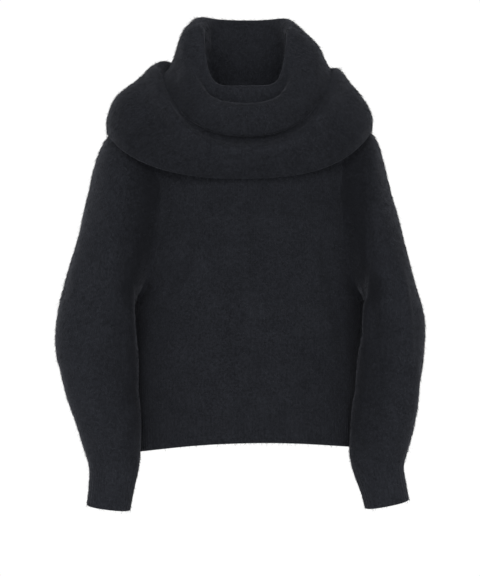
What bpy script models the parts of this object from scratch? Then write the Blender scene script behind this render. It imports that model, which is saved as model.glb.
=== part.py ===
"""Sweater of brushed knit with balloon sleeves and a tall turned-over cowl neck.

It hangs as worn, hollow and open at the neck, hem and cuffs. Sizes are in millimetres
until a mesh is made. X points to the viewer's right, Y away from the viewer and Z up. The
origin is the middle of the base of the neck, at shoulder level.
"""

import math

import bpy
import numpy as np

MM = 0.001

# Cloth
KNIT_WALL = 3.0
SEAM_GAP = 0.3
NECK_SEAM_GAP = 1.0
RIB_RISE = 0.9
SHARPEST_MITRE = 0.75

# Body sections, from the top of the hem rib to where the chest starts to close over the shoulders
BODY_COLUMNS = ("level", "half_width", "centre", "front_depth", "back_depth")
BODY_SECTIONS = (
    (-498.0, 180.0, 4.0, 116.0, 101.0),
    (-470.0, 182.0, 4.0, 118.0, 103.0),
    (-420.0, 183.0, 5.0, 118.0, 104.0),
    (-370.0, 183.0, 7.0, 116.0, 102.0),
    (-322.0, 181.0, 10.0, 114.0, 102.0),
    (-270.0, 179.0, 11.0, 113.0, 104.0),
    (-210.0, 177.0, 12.0, 112.0, 105.0),
    (-150.0, 172.0, 12.0, 107.0, 103.0),
)
BODY_SQUARENESS = 2.1
UNDERARM = -322.0
CHEST_TOP = -150.0
ROWS_BELOW_UNDERARM = 6
ROWS_BESIDE_ARMHOLE = 7
ROWS_OVER_SHOULDER = 5
PANEL_SPANS = 20
SHOULDER_SPANS = 3
HEM_LIFT = 17.0
HEM_TILT = 4.0

# Side seam and armhole, as angles round the body from its side
SIDE_SEAM_FORWARD = 14.0
ARMHOLE_FRONT = 36.0
ARMHOLE_BACK = 32.0
ARMHOLE_FULL_LEVEL = -215.0
SHOULDER_TIP_LEVEL = -51.0
SHOULDER_TIP_DEPTH = 6.0
LEFT_SHOULDER_TIP = -158.0
RIGHT_SHOULDER_TIP = 168.0

# Hem rib
HEM_RIB_DEPTH = 58.0
HEM_RIB_DRAW_IN = 2.0
HEM_RIB_ROWS = 3
HEM_RIBS_PER_SPAN = 3

# Sleeves. Each row is a loop of cloth, from its outer point to the inner point by the body.
# Twist is how far the loop's front lies to the right of its middle
SLEEVE_COLUMNS = (
    "outer_x", "outer_y", "outer_z", "inner_x", "inner_y", "inner_z", "half_depth", "twist",
)
LEFT_SLEEVE = (
    (-190, 0, -45, -175, -44, -331, 70, 14),
    (-216, -5, -62, -174, -54, -348, 69, 13),
    (-231, -14, -95, -171, -62, -365, 67, 10),
    (-243, -28, -152, -168, -67, -382, 63, 7),
    (-260, -44, -222, -166, -70, -400, 59, 4),
    (-279, -56, -290, -165, -72, -418, 55, 2),
    (-290, -64, -350, -164, -73, -438, 51, 0),
    (-290, -69, -405, -164, -73, -460, 47, 0),
    (-276, -71, -460, -161, -73, -487, 44, 0),
    (-258, -72, -515, -160, -73, -526, 40, 0),
    (-242, -72, -566, -163, -73, -572, 33, 0),
    (-238, -72, -584, -166, -73, -589, 30, 0),
    (-239, -72, -612, -173, -73, -619, 29, 0),
    (-242, -72, -639, -178, -73, -647, 29, 0),
)
RIGHT_SLEEVE = (
    (196, 0, -48, 193, -44, -329, 68, -8),
    (211, -5, -65, 193, -54, -346, 68, -6),
    (221, -14, -98, 190, -62, -363, 66, -5),
    (236, -28, -160, 186, -67, -382, 63, -5),
    (253, -44, -226, 182, -70, -400, 58, -3),
    (269, -56, -290, 179, -72, -418, 53, -2),
    (281, -64, -350, 177, -73, -438, 49, 0),
    (281, -69, -405, 175, -73, -460, 46, 0),
    (275, -71, -460, 171, -73, -487, 43, 0),
    (266, -72, -515, 168, -73, -528, 39, 0),
    (252, -72, -566, 170, -73, -574, 33, 0),
    (249, -72, -580, 175, -73, -590, 30, 0),
    (253, -72, -608, 186, -73, -620, 29, 0),
    (257, -72, -631, 192, -73, -644, 29, 0),
)
SLEEVE_LEAD = 5.0
SLEEVE_LEAD_FORWARD = 6.0
SLEEVE_LEAD_LIFT = 7.0
CUFF_TOP_SECTION = 12
SLEEVE_SQUARENESS = 2.15
SLEEVE_ROWS = 18
CUFF_ROWS = 4
CUFF_SPLIT = 3

# Collar rails, in order along the cloth from the neckline over the rim and down to the free
# edge. Reaches are from the middle of the neck, heights are above the base of the neck
COLLAR_COLUMNS = (
    "left", "right", "front", "back", "front_z", "left_z", "right_z", "back_z", "square", "sag",
)
COLLAR_RAILS = (
    ("neckline", 100, 104, 86, 76, -88, -30, -30, -24, 2.1, 0.1),
    ("inner_low", 86, 90, 82, 78, -55, 0, 2, 10, 2.2, 0.2),
    ("inner_mid", 72, 76, 76, 80, -20, 48, 50, 70, 2.5, 0.4),
    ("inner_high", 67, 67, 74, 84, -2, 90, 92, 118, 2.9, 0.6),
    ("rim", 68, 67, 81, 94, 12, 112, 110, 138, 3.0, 0.7),
    ("rim_foot", 79, 75, 89, 104, -18, 119, 115, 139, 2.5, 0.6),
    ("crest", 97, 92, 110, 114, -17, 107, 104, 126, 2.1, 0.5),
    ("bulge", 108, 117, 126, 122, -40, 82, 80, 100, 2.1, 0.4),
    ("belly", 116, 126, 131, 124, -55, 60, 61, 74, 2.15, 0.3),
    ("under", 125, 132, 127, 120, -67, 46, 51, 54, 2.3, 0.25),
    ("tuck", 132, 138, 116, 121, -66, 40, 44, 42, 2.4, 0.2),
    ("shelf", 138, 143, 121, 128, -77, 47, 46, 44, 2.4, 0.2),
    ("ridge", 145, 149, 134, 134, -87, 51, 46, 40, 2.25, 0.2),
    ("fall", 172, 167, 128, 143, -106, 29, 25, 2, 2.15, 0.2),
    ("skirt", 206, 190, 128, 146, -118, 3, -4, -38, 2.15, 0.2),
    ("drop", 220, 200, 122, 145, -127, -28, -27, -66, 2.3, 0.2),
    ("free_edge", 220, 200, 116, 139, -132, -53, -48, -88, 2.4, 0.2),
)
COLLAR_CENTRE = 4.0
NECKLINE_ANGLES = (90.0, 60.0, 45.0, 37.5, 22.5, 15.0, 7.5)
PEAK_ANGLE = -120.0
PEAK_WIDTH = 18.0
PEAK_LIFT = 11.0
PEAK_SHARES = {"under": 0.2, "tuck": 0.7, "shelf": 1.0, "ridge": 1.0, "fall": 0.35}
COLLAR_ROWS = 28
COLLAR_SPANS = 48

# Finishes
KNIT_COLOUR = (0.018, 0.019, 0.023, 1.0)
KNIT_ROUGHNESS = 0.95


def clear_scene():
    """The scene with nothing in it."""
    for thing in list(bpy.data.objects):
        bpy.data.objects.remove(thing, do_unlink=True)


def unit(vectors):
    """The vectors at length 1."""
    return vectors / np.maximum(np.linalg.norm(vectors, axis=-1, keepdims=True), 1e-9)


def spline(keys, values, places):
    """A smooth cubic through rows of values at rising keys, read at the places asked for."""
    keys = np.asarray(keys, float)
    values = np.asarray(values, float)
    slopes = np.gradient(values, keys, axis=0)
    places = np.clip(np.asarray(places, float), keys[0], keys[-1])
    span = np.clip(np.searchsorted(keys, places, side="right") - 1, 0, len(keys) - 2)
    length = keys[span + 1] - keys[span]
    t = (places - keys[span]) / length
    shape = (-1,) + (1,) * (values.ndim - 1)
    t = t.reshape(shape)
    length = length.reshape(shape)
    return (
        (2 * t**3 - 3 * t**2 + 1) * values[span]
        + (t**3 - 2 * t**2 + t) * length * slopes[span]
        + (3 * t**2 - 2 * t**3) * values[span + 1]
        + (t**3 - t**2) * length * slopes[span + 1]
    )


def oval(angle, left, right, front, back, square):
    """Plan position at an angle in radians: 0 faces the viewer, a quarter turn is the right."""
    across = np.sin(angle)
    along = np.cos(angle)
    power = 2.0 / square
    x = np.where(across > 0, right, left) * np.sign(across) * np.abs(across) ** power
    y = -np.where(along > 0, front, back) * np.sign(along) * np.abs(along) ** power
    return x, y


def round_blend(angle, front, left, right, back, sag):
    """A height that runs smoothly through four values round a loop. Sag flattens front and back."""
    turn = np.abs((angle + math.pi) % (2 * math.pi) - math.pi)
    side = np.where(np.sin(angle) > 0, right, left)
    turn = (turn - sag / 2 * np.sin(2 * turn)) / (math.pi / 2)
    t = np.where(turn < 1, turn, turn - 1)
    start = np.where(turn < 1, front, side)
    end = np.where(turn < 1, side, back)
    slope = (back - front) / 2
    start_slope = np.where(turn < 1, 0, slope)
    end_slope = np.where(turn < 1, slope, 0)
    return (
        (2 * t**3 - 3 * t**2 + 1) * start
        + (t**3 - 2 * t**2 + t) * start_slope
        + (3 * t**2 - 2 * t**3) * end
        + (t**3 - t**2) * end_slope
    )


def collar_rails(angles):
    """Points of every rail of the collar at these angles, as rails by angles by 3."""
    rails = []
    from_peak = (np.degrees(angles) - PEAK_ANGLE + 180) % 360 - 180
    peak = np.exp(-((from_peak / PEAK_WIDTH) ** 2))
    for row in COLLAR_RAILS:
        rail = dict(zip(COLLAR_COLUMNS, row[1:]))
        x, y = oval(
            angles, rail["left"], rail["right"], rail["front"], rail["back"], rail["square"]
        )
        z = round_blend(
            angles, rail["front_z"], rail["left_z"], rail["right_z"], rail["back_z"], rail["sag"]
        )
        z = z + PEAK_SHARES.get(row[0], 0.0) * PEAK_LIFT * peak
        rails.append(np.stack([x + COLLAR_CENTRE, y, z], axis=-1))
    return np.array(rails)


def along_cloth(rails):
    """Keys for a spline across rails, from the mean distance between neighbours."""
    steps = np.linalg.norm(np.diff(rails, axis=0), axis=-1).mean(axis=1)
    return np.concatenate([[0.0], np.cumsum(np.sqrt(steps))])


def collar_grid(angles, rows):
    """The middle of the collar's cloth."""
    rails = collar_rails(angles)
    keys = along_cloth(rails)
    return spline(keys, rails, np.linspace(keys[0], keys[-1], rows))


def hem_lift(angle):
    """How far the hem rises round the body: most in the middle of the front, a little to the right."""
    return HEM_LIFT * np.maximum(np.cos(angle), 0.0) ** 2 + HEM_TILT * np.sin(angle)


def body_ring(level, angle):
    """Points of the body at one level and these angles."""
    levels = [row[0] for row in BODY_SECTIONS]
    row = spline(levels, np.array(BODY_SECTIONS), [level])[0]
    section = dict(zip(BODY_COLUMNS, row))
    x, y = oval(
        angle,
        section["half_width"],
        section["half_width"],
        section["front_depth"],
        section["back_depth"],
        BODY_SQUARENESS,
    )
    fade = np.clip((UNDERARM - level) / (UNDERARM - BODY_SECTIONS[0][0]), 0.0, 1.0) ** 2
    z = level + fade * hem_lift(angle)
    return np.stack([x + section["centre"], y, np.broadcast_to(z, x.shape)], axis=-1)


def panel_angles(level, back):
    """Angles of a panel's columns at a level, from its left edge to its right edge."""
    seam = 90.0 + (SIDE_SEAM_FORWARD if back else -SIDE_SEAM_FORWARD)
    cut = 90.0 - (ARMHOLE_BACK if back else ARMHOLE_FRONT)
    rise = np.clip((level - UNDERARM) / (ARMHOLE_FULL_LEVEL - UNDERARM), 0.0, 1.0)
    reach = math.radians(seam + (cut - seam) * math.sqrt(1 - (1 - rise) ** 2))
    return np.linspace(-reach, reach, PANEL_SPANS + 1)


def neckline_angles():
    """Angles of the panels' neckline points, from the left neck point round by the front."""
    quarter = np.radians(NECKLINE_ANGLES)
    front = np.concatenate([-quarter, [0.0], quarter[::-1]])
    return np.concatenate([front, math.pi + front[1:-1]])


def panel_top(back):
    """The top row of a panel: shoulder, neckline, shoulder."""
    half = len(NECKLINE_ANGLES)
    angles = neckline_angles()[: 2 * half + 1]
    neck = collar_rails(math.pi - angles if back else angles)[0]
    share = np.linspace(0, 1, SHOULDER_SPANS + 1)[:-1, None]
    left_tip = np.array([LEFT_SHOULDER_TIP, SHOULDER_TIP_DEPTH, SHOULDER_TIP_LEVEL])
    right_tip = np.array([RIGHT_SHOULDER_TIP, SHOULDER_TIP_DEPTH, SHOULDER_TIP_LEVEL])
    left = left_tip + share * (neck[0] - left_tip)
    right = right_tip + share * (neck[-1] - right_tip)
    return np.concatenate([left, neck, right[::-1]])


def body_levels():
    """Levels of the panel rows from the rib to the top of the chest, close below the underarm."""
    below = np.linspace(BODY_SECTIONS[0][0], UNDERARM, ROWS_BELOW_UNDERARM + 1)
    share = np.linspace(0, 1, ROWS_BESIDE_ARMHOLE + 1)[1:] ** 1.5
    beside = UNDERARM + share * (CHEST_TOP - UNDERARM)
    return np.concatenate([below, beside])


def panel_grid(back):
    """The middle of the front or back panel's cloth, rows going up and columns to the right."""
    rows = []
    for level in body_levels():
        angles = panel_angles(level, back)
        rows.append(body_ring(level, math.pi - angles if back else angles))
    start = rows[-1]
    top = panel_top(back)
    for step in range(1, ROWS_OVER_SHOULDER + 1):
        turn = math.pi / 2 * step / ROWS_OVER_SHOULDER
        share = np.array([step / ROWS_OVER_SHOULDER, 1 - math.cos(turn), math.sin(turn)])
        rows.append(start + share * (top - start))
    return np.array(rows)


def armhole_loop(front, back, column):
    """The armhole's edge as a closed loop: up the front from the underarm and down the back."""
    up = front[ROWS_BELOW_UNDERARM:, column]
    down = back[ROWS_BELOW_UNDERARM + 1 : -1, column][::-1]
    return np.concatenate([up, down])


def sleeve_rings(sections, count):
    """Rings of a sleeve, each with its points spread evenly from the inner point by the front."""
    turn = np.arange(count) * 2 * math.pi / count
    power = 2.0 / SLEEVE_SQUARENESS
    outward = -np.sign(np.cos(turn)) * np.abs(np.cos(turn)) ** power
    forward = np.sign(np.sin(turn)) * np.abs(np.sin(turn)) ** power
    rings = []
    for row in sections:
        ring = dict(zip(SLEEVE_COLUMNS, row))
        outer = np.array([ring["outer_x"], ring["outer_y"], ring["outer_z"]])
        inner = np.array([ring["inner_x"], ring["inner_y"], ring["inner_z"]])
        middle = (outer + inner) / 2
        depth = np.array([ring["twist"], -ring["half_depth"], 0.0])
        rings.append(middle + outward[:, None] * (outer - middle) + forward[:, None] * depth)
    return np.array(rings)


def sleeve_grid(loop, sections):
    """The middle of a sleeve's and its cuff's cloth, and the row where the cuff starts."""
    side = math.copysign(1.0, sections[0][0])
    turn = np.arange(len(loop)) * 2 * math.pi / len(loop)
    low = np.maximum(np.cos(turn), 0.0) ** 2
    lead = np.stack(
        [side * SLEEVE_LEAD + 0 * low, -SLEEVE_LEAD_FORWARD * low, SLEEVE_LEAD_LIFT * low], -1
    )
    rails = np.concatenate([loop[None], (loop + lead)[None], sleeve_rings(sections, len(loop))])
    keys = along_cloth(rails)
    split = keys[CUFF_TOP_SECTION]
    places = np.concatenate(
        [
            np.linspace(0, split, SLEEVE_ROWS),
            np.linspace(split, keys[-1], CUFF_ROWS)[1:],
        ]
    )
    return spline(keys, rails, places), SLEEVE_ROWS - 1


def grid_normals(grid, ring):
    """Directions square to the cloth, on the side that the rows and columns turn towards."""
    down = np.gradient(grid, axis=0)
    if ring:
        around = (np.roll(grid, -1, axis=1) - np.roll(grid, 1, axis=1)) / 2
    else:
        around = np.gradient(grid, axis=1)
    return unit(np.cross(around, down))


def refine(grid, split, ring):
    """The grid with each span between columns cut into equal parts."""
    ends = np.roll(grid, -1, axis=1) if ring else grid[:, 1:]
    starts = grid if ring else grid[:, :-1]
    share = (np.arange(split) / split)[None, None, :, None]
    fine = starts[:, :, None] + share * (ends - starts)[:, :, None]
    fine = fine.reshape(len(grid), -1, 3)
    return fine if ring else np.concatenate([fine, grid[:, -1:]], axis=1)


def mitre(first, second):
    """The direction halfway between two cloths' normals, long enough to keep both walls' depth."""
    half = unit(first + second)
    cosine = np.clip(np.sum(half * first, axis=-1, keepdims=True), SHARPEST_MITRE, 1.0)
    return half / cosine


def pull_back(edge, neighbour, normal, ring=False, gap=SEAM_GAP):
    """How far an edge moves into its own cloth to leave half a seam gap, square to the seam."""
    if ring:
        tangent = np.roll(edge, -1, axis=0) - np.roll(edge, 1, axis=0)
    else:
        tangent = np.gradient(edge, axis=0)
    square = unit(np.cross(tangent, normal))
    side = np.sign(np.sum(square * (neighbour - edge), axis=-1, keepdims=True))
    return square * side * gap / 2


def knit_material(name):
    """A plain dark knit."""
    material = bpy.data.materials.new(name)
    material.use_nodes = True
    shader = material.node_tree.nodes["Principled BSDF"]
    shader.inputs["Base Color"].default_value = KNIT_COLOUR
    shader.inputs["Roughness"].default_value = KNIT_ROUGHNESS
    shader.inputs["Metallic"].default_value = 0.0
    material.diffuse_color = KNIT_COLOUR
    return material


def edge_face(first, second, inner, heights):
    """A face across a cut edge. It starts at the lower outer point, so both sides of a seam split alike."""
    face = (first, first + inner, second + inner, second)
    return face if heights[first] <= heights[second] else face[1:] + face[:1]


def wall_faces(rows, columns, ring, heights):
    """Faces of a closed wall whose outer points come first and inner points second."""
    inner = rows * columns
    top = inner - columns
    faces = []
    for column in range(columns if ring else columns - 1):
        after = (column + 1) % columns
        for start in range(0, top, columns):
            a = start + column
            b = start + after
            c = b + columns
            d = a + columns
            faces.append((a, b, c, d))
            faces.append((a + inner, d + inner, c + inner, b + inner))
        faces.append(edge_face(column, after, inner, heights))
        faces.append(edge_face(top + after, top + column, inner, heights))
    if not ring:
        for start in range(0, top, columns):
            end = start + columns - 1
            faces.append(edge_face(start + columns, start, inner, heights))
            faces.append(edge_face(end, end + columns, inner, heights))
    return faces


def volume(points, faces):
    """Signed volume of a closed mesh of quads."""
    corners = points[np.array(faces)]
    total = 0.0
    for second, third in ((1, 2), (2, 3)):
        cross = np.cross(corners[:, second], corners[:, third])
        total += np.sum(corners[:, 0] * cross) / 6
    return total


def add_piece(name, grid, normal, ring, rise=None):
    """One piece of cloth as a closed wall about the middle surface, ribs on its outer side only."""
    rows, columns = grid.shape[:2]
    outer = grid + normal * KNIT_WALL / 2
    inner = grid - normal * KNIT_WALL / 2
    if rise is not None:
        outer = outer + unit(normal) * rise
    points = np.concatenate([outer.reshape(-1, 3), inner.reshape(-1, 3)])
    faces = wall_faces(rows, columns, ring, points[:, 2])
    if volume(points, faces) < 0:
        faces = [face[:1] + face[:0:-1] for face in faces]
    mesh = bpy.data.meshes.new(name)
    mesh.from_pydata((points * MM).tolist(), [], faces)
    mesh.polygons.foreach_set("use_smooth", [True] * len(mesh.polygons))
    mesh.materials.append(knit_material(name + "_knit"))
    piece = bpy.data.objects.new(name, mesh)
    bpy.context.scene.collection.objects.link(piece)
    return piece


def body_and_sleeves():
    """Grids and seam directions of the panels and sleeves, and the neckline's for the collar."""
    front = panel_grid(back=False)
    back = panel_grid(back=True)
    front_normal = grid_normals(front, ring=False)
    back_normal = -grid_normals(back, ring=False)
    low = ROWS_BELOW_UNDERARM

    # Side seams and shoulders: both panels share one direction there
    for column in (0, -1):
        shared = unit(front_normal[: low + 1, column] + back_normal[: low + 1, column])
        front_normal[: low + 1, column] = shared
        back_normal[: low + 1, column] = shared
    last = PANEL_SPANS - SHOULDER_SPANS
    for columns in (slice(0, SHOULDER_SPANS + 1), slice(last, PANEL_SPANS + 1)):
        shared = unit(front_normal[-1, columns] + back_normal[-1, columns])
        front_normal[-1, columns] = shared
        back_normal[-1, columns] = shared

    sleeves = []
    for side, column, sections in (("left", 0, LEFT_SLEEVE), ("right", -1, RIGHT_SLEEVE)):
        loop = armhole_loop(front, back, column)
        grid, cuff_row = sleeve_grid(loop, sections)
        normal = grid_normals(grid, ring=True)
        middle = grid.mean(axis=1, keepdims=True)
        if np.sum(normal * (grid - middle)) < 0:
            normal = -normal
        body_normal = armhole_loop(front_normal, back_normal, column)
        shared = mitre(body_normal, normal[0])
        normal[0] = shared
        front_normal[low:, column] = shared[: len(front) - low]
        back_normal[low:, column] = np.concatenate(
            [shared[:1], shared[len(front) - low - 1 :][::-1]]
        )
        sleeves.append((side, grid, normal, cuff_row))

    neck = slice(SHOULDER_SPANS, last + 1)
    neck_normal = np.concatenate([front_normal[-1, neck], back_normal[-1, neck][::-1][1:-1]])
    return front, front_normal, back, back_normal, sleeves, neck_normal


def read_loop(angles, known_angles, values):
    """Values round a closed loop, read in straight steps between the known angles."""
    turn = (angles - known_angles[0]) % (2 * math.pi)
    known = np.append(known_angles - known_angles[0], 2 * math.pi)
    closed = np.concatenate([values, values[:1]])
    return np.stack([np.interp(turn, known, closed[:, axis]) for axis in range(3)], axis=-1)


def build_collar(neck_normal):
    """The collar, and the seam directions that it shares with the neckline."""
    coarse = neckline_angles()
    fine = coarse[0] + np.arange(COLLAR_SPANS) * 2 * math.pi / COLLAR_SPANS
    grid = collar_grid(fine, COLLAR_ROWS)
    grid[0] = read_loop(fine, coarse, collar_rails(coarse)[0])
    normal = grid_normals(grid, ring=True)
    outward = grid[-2] - grid.mean(axis=(0, 1))
    if np.sum(normal[-2] * outward) < 0:
        normal = -normal
    shared = mitre(neck_normal, -read_loop(coarse, fine, normal[0]))
    normal[0] = -read_loop(fine, coarse, shared)
    grid[0] += pull_back(grid[0], grid[1], normal[0], ring=True, gap=NECK_SEAM_GAP)
    add_piece("collar", grid, normal, ring=True)
    return shared


def rib_wave(rows, columns):
    """Rise of the ribs at each point: a zigzag of one point up and one down."""
    wave = np.where(np.arange(columns) % 2 == 0, RIB_RISE, 0.0)
    return np.broadcast_to(wave[None, :, None], (rows, columns, 1))


def build_hem(name, panel, normal):
    """A ribbed band that carries on from a panel's lowest row."""
    share = np.linspace(0, 1, HEM_RIB_ROWS)[:, None, None]
    edge = panel[0]
    drop = np.array([0.0, 0.0, -HEM_RIB_DEPTH])
    inward = unit(normal[0] * np.array([1.0, 1.0, 0.0])) * -HEM_RIB_DRAW_IN
    grid = edge + share * drop + share**2 * inward
    direction = np.repeat(normal[:1], HEM_RIB_ROWS, axis=0)
    split = 2 * HEM_RIBS_PER_SPAN
    grid = refine(grid, split, ring=False)
    direction = refine(direction, split, ring=False)
    drawn = grid.copy()
    drawn[0] += pull_back(grid[0], grid[1], direction[0])
    for column, beside in ((0, 1), (-1, -2)):
        drawn[:, column] += pull_back(grid[:, column], grid[:, beside], direction[:, column])
    add_piece(name, drawn, direction, ring=False, rise=rib_wave(*drawn.shape[:2]))


def build_panel(name, grid, normal):
    """A panel, drawn back by half a gap along each of its seams."""
    low = ROWS_BELOW_UNDERARM
    last = PANEL_SPANS - SHOULDER_SPANS
    drawn = grid.copy()
    for rows in (slice(0, low + 1), slice(low, None)):
        for column, beside in ((0, 1), (-1, -2)):
            edge = grid[rows, column]
            drawn[rows, column] += pull_back(edge, grid[rows, beside], normal[rows, column])
    drawn[0] += pull_back(grid[0], grid[1], normal[0])
    for columns in (slice(0, SHOULDER_SPANS + 1), slice(SHOULDER_SPANS, last + 1), slice(last, None)):
        edge = grid[-1, columns]
        drawn[-1, columns] += pull_back(edge, grid[-2, columns], normal[-1, columns])
    add_piece(name, drawn, normal, ring=False)


def build_sleeve(side, grid, normal, cuff_row):
    """A sleeve, and the ribbed cuff under it."""
    sleeve = grid[: cuff_row + 1].copy()
    sleeve_normal = normal[: cuff_row + 1]
    sleeve[0] += pull_back(grid[0], grid[1], normal[0], ring=True)
    sleeve[-1] += pull_back(grid[cuff_row], grid[cuff_row - 1], normal[cuff_row], ring=True)
    add_piece(side + "_sleeve", sleeve, sleeve_normal, ring=True)
    cuff = refine(grid[cuff_row:], CUFF_SPLIT, ring=True)
    cuff_normal = refine(normal[cuff_row:], CUFF_SPLIT, ring=True)
    cuff[0] += pull_back(cuff[0], cuff[1], cuff_normal[0], ring=True)
    add_piece(side + "_cuff", cuff, cuff_normal, ring=True, rise=rib_wave(*cuff.shape[:2]))


def main():
    """The whole sweater."""
    clear_scene()
    front, front_normal, back, back_normal, sleeves, neck_normal = body_and_sleeves()
    shared = build_collar(neck_normal)
    last = PANEL_SPANS - SHOULDER_SPANS
    neck = slice(SHOULDER_SPANS, last + 1)
    half = last - SHOULDER_SPANS
    front_normal[-1, neck] = shared[: half + 1]
    back_normal[-1, neck] = np.concatenate([shared[half:], shared[:1]])[::-1]
    build_hem("front_hem_rib", front, front_normal)
    build_hem("back_hem_rib", back, back_normal)
    build_panel("front_panel", front, front_normal)
    build_panel("back_panel", back, back_normal)
    for side, grid, normal, cuff_row in sleeves:
        build_sleeve(side, grid, normal, cuff_row)


main()
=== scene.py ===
"""Looks of the brushed-knit sweater: balloon sleeves and a tall turned-over cowl neck.

Each knitted piece is a thin closed shell on the form of its solid, with folds placed one by one,
a knit finish and a nap of fine fibres. Tables are in millimetres and meshes in metres.
X points to the viewer's right, Y away from the viewer and Z up.
"""

import logging
import math
from dataclasses import dataclass, field
from enum import Enum
from typing import Any, Callable

import bpy
import numpy as np
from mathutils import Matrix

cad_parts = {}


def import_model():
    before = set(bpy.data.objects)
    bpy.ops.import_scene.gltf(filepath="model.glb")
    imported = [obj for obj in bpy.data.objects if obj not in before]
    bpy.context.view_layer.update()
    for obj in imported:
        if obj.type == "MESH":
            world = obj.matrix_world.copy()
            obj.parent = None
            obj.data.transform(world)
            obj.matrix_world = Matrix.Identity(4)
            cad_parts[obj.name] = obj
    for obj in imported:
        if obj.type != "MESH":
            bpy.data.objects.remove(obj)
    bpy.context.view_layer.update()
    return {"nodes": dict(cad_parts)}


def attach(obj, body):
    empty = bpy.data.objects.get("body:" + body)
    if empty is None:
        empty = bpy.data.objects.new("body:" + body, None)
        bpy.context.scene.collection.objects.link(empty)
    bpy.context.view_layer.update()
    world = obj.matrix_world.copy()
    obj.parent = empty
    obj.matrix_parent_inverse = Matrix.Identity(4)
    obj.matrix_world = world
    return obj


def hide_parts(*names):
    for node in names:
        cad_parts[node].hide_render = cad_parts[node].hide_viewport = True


LOG = logging.getLogger("sweater")
MM = 0.001


class Side(Enum):
    """The side of the garment that a fold is read from: (first axis, depth axis, depth sign)."""

    FRONT = (0, 1, -1.0)
    BACK = (0, 1, 1.0)
    LEFT = (1, 0, -1.0)
    RIGHT = (1, 0, 1.0)


class Finish(Enum):
    """The two knits of the garment, by the name of the record's material slot."""

    KNIT = "knit"
    RIB = "rib"


# Shapes shared by every piece


def unit(vectors: np.ndarray) -> np.ndarray:
    """Scale vectors to length 1.

    Args:
        vectors: Any array whose last axis is a vector.

    Returns:
        The vectors at length 1.
    """
    return vectors / np.maximum(np.linalg.norm(vectors, axis=-1, keepdims=True), 1e-9)


def spline(keys: Any, values: Any, places: Any) -> np.ndarray:
    """Read a smooth cubic through rows of values.

    Args:
        keys: Rising positions of the rows.
        values: One row of values for each key.
        places: Positions to read at.

    Returns:
        One row of values for each place.
    """
    keys = np.asarray(keys, float)
    values = np.asarray(values, float)
    slopes = np.gradient(values, keys, axis=0)
    places = np.clip(np.asarray(places, float), keys[0], keys[-1])
    span = np.clip(np.searchsorted(keys, places, side="right") - 1, 0, len(keys) - 2)
    shape = (-1,) + (1,) * (values.ndim - 1)
    length = (keys[span + 1] - keys[span]).reshape(shape)
    t = (places - keys[span]).reshape(shape) / length
    return (
        (2 * t**3 - 3 * t**2 + 1) * values[span]
        + (t**3 - 2 * t**2 + t) * length * slopes[span]
        + (3 * t**2 - 2 * t**3) * values[span + 1]
        + (t**3 - t**2) * length * slopes[span + 1]
    )


def oval(
    angle: np.ndarray, left: float, right: float, front: float, back: float, square: float
) -> tuple[np.ndarray, np.ndarray]:
    """Find plan positions on an oval with four reaches.

    Args:
        angle: Angles in radians; 0 faces the viewer and a quarter turn is the right.
        left: Reach to the left.
        right: Reach to the right.
        front: Reach towards the viewer.
        back: Reach away from the viewer.
        square: 2 for an ellipse, more for fuller corners.

    Returns:
        The x and y of each angle.
    """
    across = np.sin(angle)
    along = np.cos(angle)
    power = 2.0 / square
    x = np.where(across > 0, right, left) * np.sign(across) * np.abs(across) ** power
    y = -np.where(along > 0, front, back) * np.sign(along) * np.abs(along) ** power
    return x, y


def round_blend(
    angle: np.ndarray, front: float, left: float, right: float, back: float, sag: float
) -> np.ndarray:
    """Run a height smoothly through four values round a loop.

    Args:
        angle: Angles in radians; 0 faces the viewer.
        front: Height at the front.
        left: Height at the left.
        right: Height at the right.
        back: Height at the back.
        sag: How much the front and back are flattened.

    Returns:
        One height for each angle.
    """
    turn = np.abs((angle + math.pi) % (2 * math.pi) - math.pi)
    side = np.where(np.sin(angle) > 0, right, left)
    turn = (turn - sag / 2 * np.sin(2 * turn)) / (math.pi / 2)
    t = np.where(turn < 1, turn, turn - 1)
    start = np.where(turn < 1, front, side)
    end = np.where(turn < 1, side, back)
    slope = (back - front) / 2
    start_slope = np.where(turn < 1, 0, slope)
    end_slope = np.where(turn < 1, slope, 0)
    return (
        (2 * t**3 - 3 * t**2 + 1) * start
        + (t**3 - 2 * t**2 + t) * start_slope
        + (3 * t**2 - 2 * t**3) * end
        + (t**3 - t**2) * end_slope
    )


def along_cloth(rails: np.ndarray) -> np.ndarray:
    """Space keys by the distance between neighbouring rails.

    Args:
        rails: Rails by points by 3.

    Returns:
        One rising key for each rail.
    """
    steps = np.linalg.norm(np.diff(rails, axis=0), axis=-1).mean(axis=1)
    return np.concatenate([[0.0], np.cumsum(np.sqrt(steps))])


def finer(grid: np.ndarray, rows: int, columns: int, ring: bool) -> np.ndarray:
    """Read a coarse grid of cloth at more rows and columns, on smooth curves.

    Args:
        grid: Rows by columns by 3.
        rows: Rows wanted.
        columns: Columns wanted.
        ring: Whether the last column meets the first.

    Returns:
        The finer grid.
    """
    known = np.arange(len(grid))
    grid = spline(known, grid, np.linspace(0, known[-1], rows))
    across = grid.transpose(1, 0, 2)
    if ring:
        across = np.concatenate([across[-2:], across, across[:3]])
        places = 2 + np.arange(columns) * grid.shape[1] / columns
    else:
        places = np.linspace(0, grid.shape[1] - 1, columns)
    return spline(np.arange(len(across)), across, places).transpose(1, 0, 2)


def grid_normals(grid: np.ndarray, ring: bool) -> np.ndarray:
    """Find directions square to the cloth.

    Args:
        grid: Rows by columns by 3.
        ring: Whether the last column meets the first.

    Returns:
        Unit normals, on the side that columns cross rows point to.
    """
    down = np.gradient(grid, axis=0)
    if ring:
        around = (np.roll(grid, -1, axis=1) - np.roll(grid, 1, axis=1)) / 2
    else:
        around = np.gradient(grid, axis=1)
    return unit(np.cross(around, down))


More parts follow.
